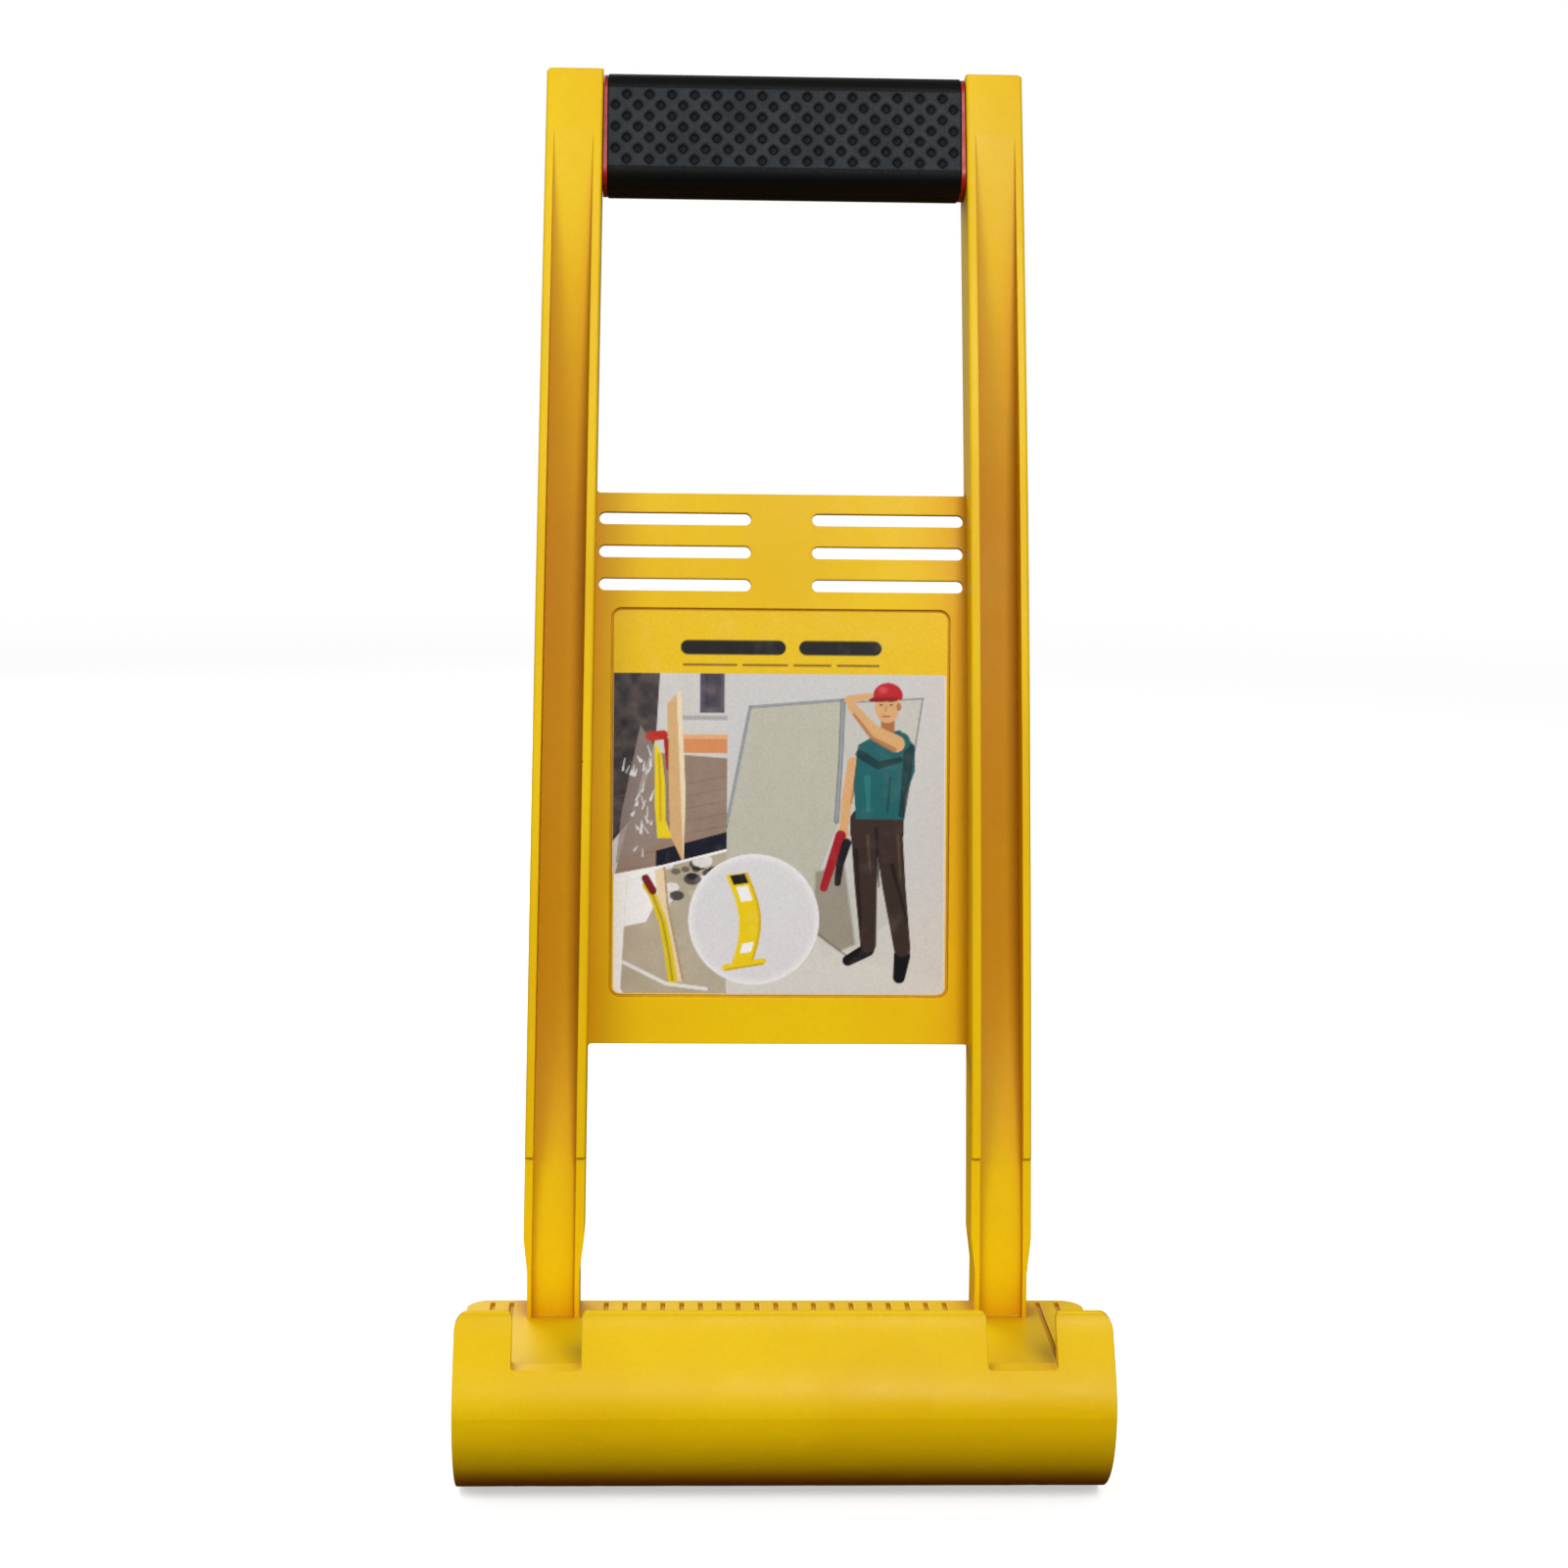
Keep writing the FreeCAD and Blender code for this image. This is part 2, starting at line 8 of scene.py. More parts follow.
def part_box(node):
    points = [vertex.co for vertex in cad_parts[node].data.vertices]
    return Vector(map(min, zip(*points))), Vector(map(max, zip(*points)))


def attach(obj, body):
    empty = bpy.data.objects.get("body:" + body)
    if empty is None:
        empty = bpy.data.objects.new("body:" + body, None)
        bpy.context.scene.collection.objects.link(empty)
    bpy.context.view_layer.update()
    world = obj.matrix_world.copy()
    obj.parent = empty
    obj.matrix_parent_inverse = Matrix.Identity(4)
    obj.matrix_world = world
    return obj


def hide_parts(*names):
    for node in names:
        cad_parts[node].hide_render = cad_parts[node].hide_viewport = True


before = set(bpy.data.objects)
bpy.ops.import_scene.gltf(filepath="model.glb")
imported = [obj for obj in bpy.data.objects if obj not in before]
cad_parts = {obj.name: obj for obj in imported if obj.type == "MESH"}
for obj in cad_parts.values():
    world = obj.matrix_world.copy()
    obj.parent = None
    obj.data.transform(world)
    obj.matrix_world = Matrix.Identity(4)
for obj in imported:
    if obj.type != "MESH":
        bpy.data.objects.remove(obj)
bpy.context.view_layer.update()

# Looks for the board carrier: yellow moulded plastic, a pitted rubber grip over red shells, screws and
# a label. Metres, in the CAD frame: X along the foot, -Y towards the board side, +Z up.

MM = 0.001


# ---- small helpers ----
def smooth_step(low, high, value):
    """0 below low, 1 above high and a smooth ramp between."""
    share = np.clip((value - low) / (high - low), 0.0, 1.0)
    return share * share * (3.0 - 2.0 * share)


def vertices_of(*names):
    """All vertices of some CAD nodes, as one array."""
    clouds = []
    for name in names:
        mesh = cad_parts[name].data
        flat = np.zeros(len(mesh.vertices) * 3)
        mesh.vertices.foreach_get("co", flat)
        clouds.append(flat.reshape(-1, 3))
    return np.concatenate(clouds)


def new_piece(name, points, faces, material, smooth_angle=math.radians(35.0)):
    """Mesh object from points and faces, shaded smooth except over sharp edges."""
    mesh = bpy.data.meshes.new(name)
    mesh.from_pydata([tuple(point) for point in points], [], [tuple(face) for face in faces])
    mesh.validate()
    mesh.materials.append(material)
    piece = bpy.data.objects.new(name, mesh)
    bpy.context.scene.collection.objects.link(piece)
    mesh.polygons.foreach_set("use_smooth", np.ones(len(mesh.polygons), bool))
    mesh.set_sharp_from_angle(angle=smooth_angle)
    mesh.update()
    return piece


class Nodes:
    """A material's node tree, with short calls to add and join nodes."""

    def __init__(self, name):
        self.material = bpy.data.materials.new(name)
        self.material.use_nodes = True
        self.tree = self.material.node_tree
        self.tree.nodes.clear()
        self.output = self.add("ShaderNodeOutputMaterial")
        self.coords = self.add("ShaderNodeTexCoord").outputs["Object"]

    def add(self, kind, **settings):
        node = self.tree.nodes.new(kind)
        for key, value in settings.items():
            setattr(node, key, value)
        return node

    def feed(self, socket, value):
        """Joins an output to an input, or sets the input to a plain value."""
        if isinstance(value, bpy.types.NodeSocket):
            self.tree.links.new(value, socket)
        else:
            socket.default_value = value

    def noise(self, per_metre, detail=3.0, roughness=0.55, stretch=None):
        coords = self.coords
        if stretch is not None:
            mapping = self.add("ShaderNodeMapping")
            self.feed(mapping.inputs["Vector"], self.coords)
            mapping.inputs["Scale"].default_value = stretch
            coords = mapping.outputs["Vector"]
        node = self.add("ShaderNodeTexNoise")
        self.feed(node.inputs["Vector"], coords)
        node.inputs["Scale"].default_value = per_metre
        node.inputs["Detail"].default_value = detail
        node.inputs["Roughness"].default_value = roughness
        return node.outputs["Fac"]

    def ramp(self, value, low, high, to_low=0.0, to_high=1.0):
        node = self.add("ShaderNodeMapRange", clamp=True, interpolation_type="SMOOTHSTEP")
        self.feed(node.inputs["Value"], value)
        node.inputs["From Min"].default_value = low
        node.inputs["From Max"].default_value = high
        node.inputs["To Min"].default_value = to_low
        node.inputs["To Max"].default_value = to_high
        return node.outputs["Result"]

    def maths(self, operation, first, second=0.0):
        node = self.add("ShaderNodeMath", operation=operation)
        self.feed(node.inputs[0], first)
        self.feed(node.inputs[1], second)
        return node.outputs["Value"]

    def mix(self, share, first, second, blend="MIX"):
        node = self.add("ShaderNodeMix", data_type="RGBA", blend_type=blend)
        self.feed(node.inputs["Factor"], share)
        self.feed(node.inputs["A"], first)
        self.feed(node.inputs["B"], second)
        return node.outputs["Result"]

    def specks(self, per_metre, size):
        """1 in rare small dots scattered through space."""
        node = self.add("ShaderNodeTexVoronoi")
        self.feed(node.inputs["Vector"], self.coords)
        node.inputs["Scale"].default_value = per_metre
        return self.ramp(node.outputs["Distance"], size * per_metre * 0.6, size * per_metre, 1.0, 0.0)

    def rounded_normal(self, radius):
        node = self.add("ShaderNodeBevel", samples=6)
        node.inputs["Radius"].default_value = radius
        return node.outputs["Normal"]

    def edges(self, rounded):
        """1 along edges, where the rounded normal turns away from the plain one."""
        plain = self.add("ShaderNodeNewGeometry").outputs["Normal"]
        dot = self.add("ShaderNodeVectorMath", operation="DOT_PRODUCT")
        self.feed(dot.inputs[0], rounded)
        self.feed(dot.inputs[1], plain)
        return self.ramp(dot.outputs["Value"], 0.985, 0.86)

    def shelter(self, distance):
        """0 in deep corners and 1 in the open."""
        node = self.add("ShaderNodeAmbientOcclusion", samples=6)
        node.inputs["Distance"].default_value = distance
        return node.outputs["AO"]

    def bump(self, height, depth, normal=None, strength=1.0):
        node = self.add("ShaderNodeBump")
        node.inputs["Strength"].default_value = strength
        node.inputs["Distance"].default_value = depth
        self.feed(node.inputs["Height"], height)
        if normal is not None:
            self.feed(node.inputs["Normal"], normal)
        return node.outputs["Normal"]

    def surface(self, **inputs):
        shader = self.add("ShaderNodeBsdfPrincipled")
        for key, value in inputs.items():
            self.feed(shader.inputs[key.replace("_", " ")], value)
        self.feed(self.output.inputs["Surface"], shader.outputs["BSDF"])
        return shader


def rgb(red, green, blue):
    """Linear colour from the 0 to 255 steps of a colour picker."""
    steps = []
    for value in (red, green, blue):
        share = value / 255.0
        steps.append(share / 12.92 if share <= 0.04045 else ((share + 0.055) / 1.055) ** 2.4)
    return (steps[0], steps[1], steps[2], 1.0)


# ---- materials ----
def yellow_plastic():
    """Moulded ABS: satin grain, faint flow marks, deeper orange painted shade in sheltered corners, worn
    edges, specks.
    """
    made = Nodes("yellow_moulded_abs")
    rounded = made.rounded_normal(0.55 * MM)
    edge = made.edges(rounded)
    drift = made.noise(14.0, 2.0)
    flow = made.noise(30.0, 4.0, 0.6, (1.0, 1.0, 0.25))
    mottle = made.noise(900.0, 2.0)
    colour = made.mix(made.ramp(drift, 0.35, 0.65), rgb(238, 198, 6), rgb(231, 187, 4))
    colour = made.mix(made.ramp(flow, 0.45, 0.75, 0.0, 0.35), colour, rgb(243, 208, 14))
    colour = made.mix(made.ramp(mottle, 0.3, 0.7, 0.0, 0.12), colour, rgb(214, 164, 2))
    sheltered = made.shelter(16.0 * MM)
    # painted shade: deeper orange wherever the occlusion finds a sheltered corner or recess
    colour = made.mix(made.ramp(sheltered, 0.25, 0.95, 0.9, 0.0), colour, rgb(196, 118, 0))
    scuffs = made.ramp(made.noise(420.0, 5.0, 0.7), 0.52, 0.62)
    wear = made.maths("MULTIPLY", edge, scuffs)
    colour = made.mix(made.maths("MULTIPLY", wear, 0.35), colour, rgb(252, 228, 96))
    patches = made.ramp(made.noise(160.0, 4.0), 0.45, 0.75)
    dirt = made.maths("MULTIPLY", made.ramp(sheltered, 0.75, 0.1), patches)
    colour = made.mix(made.maths("MULTIPLY", dirt, 0.16), colour, rgb(120, 84, 20))
    colour = made.mix(made.specks(26.0, 0.55 * MM), colour, rgb(70, 40, 14))
    rough = made.ramp(made.noise(55.0, 4.0), 0.3, 0.7, 0.34, 0.44)
    rough = made.maths("ADD", rough, made.maths("MULTIPLY", wear, 0.15))
    grain = made.noise(1900.0, 2.0, 0.5)
    waves = made.noise(38.0, 2.0, 0.4)
    normal = made.bump(waves, 0.28 * MM, rounded, 0.5)
    normal = made.bump(grain, 0.022 * MM, normal, 0.6)
    shader = made.surface(Base_Color=colour, Roughness=rough, Normal=normal)
    shader.inputs["IOR"].default_value = 1.5
    shader.inputs["Specular IOR Level"].default_value = 0.12
    shader.inputs["Subsurface Weight"].default_value = 0.1
    shader.inputs["Subsurface Radius"].default_value = (1.6, 0.9, 0.12)
    shader.inputs["Subsurface Scale"].default_value = 1.0 * MM
    return made.material


def grip_rubber():
    """Soft rubber: the pitted panel is a muted grey and the smooth bands round it are near black, partly the
    rubber's own finish and partly painted shade on the bands that turn away from the light; the pit bottoms
    carry painted shade.
    """
    made = Nodes("black_grip_rubber")
    panel = made.add("ShaderNodeAttribute", attribute_name="panel").outputs["Fac"]
    depth = made.add("ShaderNodeAttribute", attribute_name="pit").outputs["Fac"]
    cloud = made.noise(90.0, 4.0, 0.6)
    fine = made.noise(1500.0, 3.0, 0.6)
    grey = made.mix(made.ramp(cloud, 0.35, 0.65), rgb(38, 43, 47), rgb(47, 52, 56))
    grey = made.mix(made.ramp(fine, 0.3, 0.7, 0.0, 0.4), grey, rgb(34, 38, 43))
    # painted shade: the bottom of each pit is painted near black
    grey = made.mix(made.ramp(depth, 0.15, 0.8), grey, rgb(8, 9, 12))
    # painted shade: the smooth bands are painted near black and the panel a lighter grey, partly the rubber's
    # own finish and partly shade where the bands turn away from the light
    black = made.mix(made.ramp(cloud, 0.35, 0.65), rgb(2, 2, 3), rgb(4, 4, 6))
    colour = made.mix(panel, black, grey)
    rounded = made.rounded_normal(0.3 * MM)
    edge = made.edges(rounded)
    scuff = made.maths("MULTIPLY", edge, made.ramp(made.noise(600.0, 4.0, 0.7), 0.5, 0.65))
    colour = made.mix(made.maths("MULTIPLY", scuff, 0.3), colour, rgb(84, 86, 90))
    rough = made.ramp(fine, 0.3, 0.7, 0.5, 0.66)
    normal = made.bump(fine, 0.03 * MM, rounded, 0.7)
    shader = made.surface(Base_Color=colour, Roughness=rough, Normal=normal)
    shader.inputs["Specular IOR Level"].default_value = 0.14
    shader.inputs["Sheen Weight"].default_value = 0.02
    shader.inputs["Sheen Roughness"].default_value = 0.5
    return made.material


def red_plastic():
    """Hard satin plastic of the grip's shells."""
    made = Nodes("red_shell_plastic")
    rounded = made.rounded_normal(0.25 * MM)
    drift = made.noise(60.0, 3.0)
    colour = made.mix(made.ramp(drift, 0.35, 0.65), rgb(172, 24, 22), rgb(152, 17, 18))
    colour = made.mix(made.maths("MULTIPLY", made.edges(rounded), 0.2), colour, rgb(226, 78, 62))
    rough = made.ramp(made.noise(300.0, 3.0), 0.3, 0.7, 0.36, 0.5)
    normal = made.bump(made.noise(1600.0, 2.0), 0.02 * MM, rounded, 0.6)
    made.surface(Base_Color=colour, Roughness=rough, Normal=normal)
    return made.material


def plated_steel():
    """Zinc-plated steel with a faint blue and straw cast, turned marks and painted shade in its recesses."""
    made = Nodes("zinc_plated_steel")
    rounded = made.rounded_normal(0.15 * MM)
    cast = made.noise(220.0, 3.0)
    colour = made.mix(made.ramp(cast, 0.35, 0.65), rgb(196, 200, 206), rgb(206, 200, 184))
    # painted shade: darker grey in the recesses of the screw heads
    colour = made.mix(made.ramp(made.shelter(1.2 * MM), 0.7, 0.1, 0.0, 0.7), colour, rgb(70, 68, 64))
    marks = made.noise(900.0, 3.0, 0.6, (1.0, 1.0, 5.0))
    rough = made.ramp(marks, 0.3, 0.7, 0.24, 0.42)
    normal = made.bump(marks, 0.012 * MM, rounded, 0.7)
    made.surface(Base_Color=colour, Roughness=rough, Normal=normal, Metallic=1.0)
    return made.material


def printed_film():
    """Glossy sticker: the picture's colours with a fine print grain, under a slightly wavy clear film."""
    made = Nodes("printed_label_film")
    print_colour = made.add("ShaderNodeVertexColor", layer_name="print").outputs["Color"]
    grain = made.noise(1300.0, 2.0)
    blotch = made.noise(170.0, 3.0)
    colour = made.mix(made.ramp(grain, 0.3, 0.7, 0.0, 0.1), print_colour, rgb(120, 116, 104), "MULTIPLY")
    colour = made.mix(made.ramp(blotch, 0.5, 0.8, 0.0, 0.03), colour, rgb(250, 248, 240))
    rough = made.ramp(made.noise(240.0, 3.0), 0.3, 0.7, 0.3, 0.42)
    normal = made.bump(made.noise(70.0, 2.0, 0.4), 0.12 * MM, None, 0.5)
    normal = made.bump(grain, 0.006 * MM, normal, 0.5)
    shader = made.surface(Base_Color=colour, Roughness=rough, Normal=normal)
    shader.inputs["Specular IOR Level"].default_value = 0.12
    shader.inputs["Coat Weight"].default_value = 0.14
    shader.inputs["Coat Roughness"].default_value = 0.06
    return made.material


def floor_paper():
    """Pale seamless paper that fades out to the pale backdrop far from the object."""
    made = Nodes("pale_floor")
    fibres = made.noise(260.0, 4.0)
    colour = made.mix(made.ramp(fibres, 0.3, 0.7, 0.0, 1.0), rgb(243, 243, 242), rgb(246, 246, 245))
    rough = 0.8
    normal = made.bump(fibres, 0.05 * MM, None, 0.3)
    shader = made.surface(Base_Color=colour, Roughness=rough, Normal=normal)
    shader.inputs["Specular IOR Level"].default_value = 0.1
    path = made.add("ShaderNodeLightPath").outputs["Is Camera Ray"]
    made.feed(shader.inputs["Base Color"], made.mix(path, rgb(84, 58, 30), colour))
    shader.inputs["Emission Color"].default_value = (1.0, 1.0, 1.0, 1.0)
    made.feed(shader.inputs["Emission Strength"], made.maths("MULTIPLY", path, FLOOR_LIFT))
    reach = made.add("ShaderNodeVectorMath", operation="LENGTH")
    made.feed(reach.inputs[0], made.coords)
    clear = made.add("ShaderNodeBsdfTransparent")
    blend = made.add("ShaderNodeMixShader")
    made.feed(blend.inputs["Fac"], made.ramp(reach.outputs["Value"], FLOOR_FADE_START, FLOOR_FADE_END))
    made.feed(blend.inputs[1], shader.outputs["BSDF"])
    made.feed(blend.inputs[2], clear.outputs["BSDF"])
    made.feed(made.output.inputs["Surface"], blend.outputs["Shader"])
    return made.material


# ---- grip ----
GRIP_CORNER = 5.2 * MM
SKIN = 2.2 * MM
PARTING = 0.15 * MM
GRID = 0.3 * MM
PIT_ROWS = 7
PIT_ROW_PITCH = 3.05 * MM
PIT_PITCH = 6.2 * MM
PIT_RADIUS = 1.75 * MM
PIT_DEPTH = 0.85 * MM
PIT_DOT = 0.5 * MM
SCREW_OPENING = 3.9 * MM
SCREW_HEAD_RADIUS = 3.4 * MM
PIT_SCREW_GAP = 2.4 * MM
PIT_END_GAP = 1.6 * MM


class Grip:
    """The grip's own axes, centre and section, worked out from the two CAD skins."""

    def __init__(self):
        cloud = vertices_of("grip_skin_front", "grip_skin_rear")
        flat = cloud[:, 1:]
        leans = np.radians(np.arange(0.0, 30.0, 0.02))
        spreads = []
        for lean in leans:
            turned = flat @ self.axes(lean).T
            spreads.append(np.ptp(turned, axis=0).sum())
        self.lean = leans[int(np.argmin(spreads))]
        turned = flat @ self.axes(self.lean).T
        middle = (turned.min(axis=0) + turned.max(axis=0)) / 2.0
        centre = middle @ self.axes(self.lean)
        self.centre = np.array([0.0, centre[0], centre[1]])
        self.half_depth, self.half_height = np.ptp(turned, axis=0) / 2.0
        self.half_length = np.abs(cloud[:, 0]).max()
        rear, up = self.axes(self.lean)
        self.rear = np.array([0.0, rear[0], rear[1]])
        self.up = np.array([0.0, up[0], up[1]])

    @staticmethod
    def axes(lean):
        """Rearward and upward directions of the leaning section, in the YZ plane."""
        return np.array([[math.cos(lean), -math.sin(lean)], [math.sin(lean), math.cos(lean)]])

    def place(self, x, out, height, side):
        """Points at a distance out from the parting plane, to the front (side -1) or rear (side 1)."""
        x, out, height = np.broadcast_arrays(x, out, height)
        points = self.centre + side * out[..., None] * self.rear + height[..., None] * self.up
        points[..., 0] += x
        return points


def section(grip, inset, count):
    """Half of the rounded section, from lower to upper parting line: points and outward directions."""
    radius = GRIP_CORNER - inset
    depth = grip.half_depth - inset
    height = grip.half_height - inset
    run = depth - radius - PARTING
    flat = 2.0 * (height - radius)
    arc = radius * math.pi / 2.0
    total = 2.0 * run + 2.0 * arc + flat
    points = []
    normals = []
    for travel in np.linspace(0.0, total, count):
        mirrored = travel > total / 2.0
        along = total - travel if mirrored else travel
        if along < run:
            point = (PARTING + along, -height)
            normal = (0.0, -1.0)
        elif along < run + arc:
            turn = (along - run) / radius - math.pi / 2.0
            normal = (math.cos(turn), math.sin(turn))
            point = (depth - radius + radius * normal[0], radius - height + radius * normal[1])
        else:
            point = (depth, radius - height + along - run - arc)
            normal = (1.0, 0.0)
        flip = -1.0 if mirrored else 1.0
        points.append((point[0], flip * point[1]))
        normals.append((normal[0], flip * normal[1]))
    return np.array(points), np.array(normals)


def pit_field(grip, x, height, on_face, keep_clear):
    """How deep each place lies in its pit, 0 on the ridges and 1 at the bottom, and the small central dot."""
    deep = np.zeros(np.broadcast(x, height).shape)
    dot = np.zeros_like(deep)
    last = int(grip.half_length / PIT_PITCH)
    for row in range(PIT_ROWS):
        row_height = (row - (PIT_ROWS - 1) / 2.0) * PIT_ROW_PITCH
        shift = PIT_PITCH / 2.0 if row % 2 else 0.0
        for column in range(-last - 1, last + 1):
            centre = column * PIT_PITCH + shift
            screw_reaches = [math.hypot(centre - place, row_height) for place in keep_clear]
            near_screw = any(reach < SCREW_OPENING + PIT_SCREW_GAP for reach in screw_reaches)
            if abs(centre) > grip.half_length - PIT_END_GAP or near_screw:
                continue
            across = np.abs(x - centre)
            tall = np.abs(height - row_height)
            round_reach = np.hypot(across, tall)
            diamond_reach = (across + tall) * 0.82
            reach = 0.55 * round_reach + 0.45 * diamond_reach
            deep = np.maximum(deep, 1.0 - smooth_step(0.45 * PIT_RADIUS, PIT_RADIUS, reach))
            dot = np.maximum(dot, 1.0 - smooth_step(0.0, PIT_DOT, round_reach))
    return deep * on_face, dot * on_face


def grip_skin(name, grip, side, screw_places, material):
    """One rubber half as a closed skin, with moulded pits, a stepped panel border and softly rolled ends."""
    columns = int(2.0 * grip.half_length / GRID) + 1
    profile, outward = section(grip, 0.0, int(2.3 * grip.half_height / GRID) + 1)
    inner, _ = section(grip, SKIN, len(profile))
    rows = len(profile)
    x = np.linspace(-grip.half_length, grip.half_length, columns)[:, None]
    out = profile[None, :, 0]
    height = profile[None, :, 1]
    panel_half = grip.half_height - GRIP_CORNER + 0.15 * MM
    face = 1.0 - smooth_step(panel_half - 0.25 * MM, panel_half, np.abs(height))
    face = face * (outward[None, :, 0] > 0.6)
    to_end = grip.half_length - np.abs(x)
    panel = face * smooth_step(0.1 * MM, 0.5 * MM, to_end)
    deep, dot = pit_field(grip, x, height, np.ones_like(face), screw_places)
    deep = deep * panel
    dot = dot * panel
    sink = PIT_DEPTH * (deep - 0.35 * dot)
    border = np.exp(-((np.abs(height) - panel_half) / (0.3 * MM)) ** 2) * (outward[None, :, 0] > 0.6)
    roll = 0.5 * MM
    ends = roll - np.sqrt(np.maximum(roll**2 - np.maximum(roll - to_end, 0.0) ** 2, 0.0))
    inward = sink + 0.12 * MM * border + ends
    out_grid = out - inward * outward[None, :, 0]
    height_grid = height - inward * outward[None, :, 1]
    outer = grip.place(np.broadcast_to(x, out_grid.shape), out_grid, height_grid, side).reshape(-1, 3)
    ends_x = np.array([-grip.half_length, grip.half_length])[:, None]
    lining = grip.place(ends_x, inner[None, :, 0], inner[None, :, 1], side).reshape(-1, 3)
    points = np.concatenate([outer, lining])
    first_lining = columns * rows

    def outer_at(column, row):
        return column * rows + row

    def lining_at(end, row):
        return first_lining + end * rows + row

    faces = []
    for column in range(columns - 1):
        for row in range(rows - 1):
            faces.append((outer_at(column, row), outer_at(column, row + 1),
                          outer_at(column + 1, row + 1), outer_at(column + 1, row)))
    for row in range(rows - 1):
        faces.append((lining_at(0, row), lining_at(1, row), lining_at(1, row + 1), lining_at(0, row + 1)))
        faces.append((outer_at(0, row), lining_at(0, row), lining_at(0, row + 1), outer_at(0, row + 1)))
        last = columns - 1
        faces.append((outer_at(last, row), outer_at(last, row + 1), lining_at(1, row + 1), lining_at(1, row)))
    low_edge = [outer_at(column, 0) for column in range(columns)]
    high_edge = [outer_at(column, rows - 1) for column in reversed(range(columns))]
    faces.append(low_edge + [lining_at(1, 0), lining_at(0, 0)])
    faces.append(high_edge + [lining_at(0, rows - 1), lining_at(1, rows - 1)])
    if side > 0:
        faces = [tuple(reversed(ring)) for ring in faces]
    piece = new_piece(name, points, faces, material)
    lining_zeros = np.zeros(2 * rows)
    for key, values in (("panel", np.broadcast_to(panel, out_grid.shape)), ("pit", deep)):
        layer = piece.data.attributes.new(key, "FLOAT", "POINT")
        layer.data.foreach_set("value", np.concatenate([values.ravel(), lining_zeros]).astype(np.float32))
    if screw_places:
        cut_openings(piece, grip, screw_places)
    return piece


def cut_openings(piece, grip, places):
    """Round openings through the skin, from behind, where the screws sit."""
    sides = 64
    tools = []
    for place in places:
        points = []
        for out in (0.0, 2.0 * grip.half_depth):
            for step in range(sides):
                turn = 2.0 * math.pi * step / sides
                across = place + SCREW_OPENING * math.cos(turn)
                points.append(grip.place(across, out, SCREW_OPENING * math.sin(turn), 1))
        rims = [tuple(reversed(range(sides))), tuple(range(sides, 2 * sides))]
        walls = [(k, (k + 1) % sides, sides + (k + 1) % sides, sides + k) for k in range(sides)]
        tools.append(new_piece("opening_tool", points, rims + walls, piece.data.materials[0]))
    for tool in tools:
        cut = piece.modifiers.new("opening", "BOOLEAN")
        cut.operation = "DIFFERENCE"
        cut.solver = "EXACT"
        cut.object = tool
    bake(piece)
    for tool in tools:
        bpy.data.objects.remove(tool)


def bake(piece):
    """Applies all of a piece's modifiers to its mesh."""
    bpy.context.view_layer.update()
    graph = bpy.context.evaluated_depsgraph_get()
    final = piece.evaluated_get(graph)
    result = bpy.data.meshes.new_from_object(final, preserve_all_data_layers=True, depsgraph=graph)
    piece.modifiers.clear()
    piece.data = result


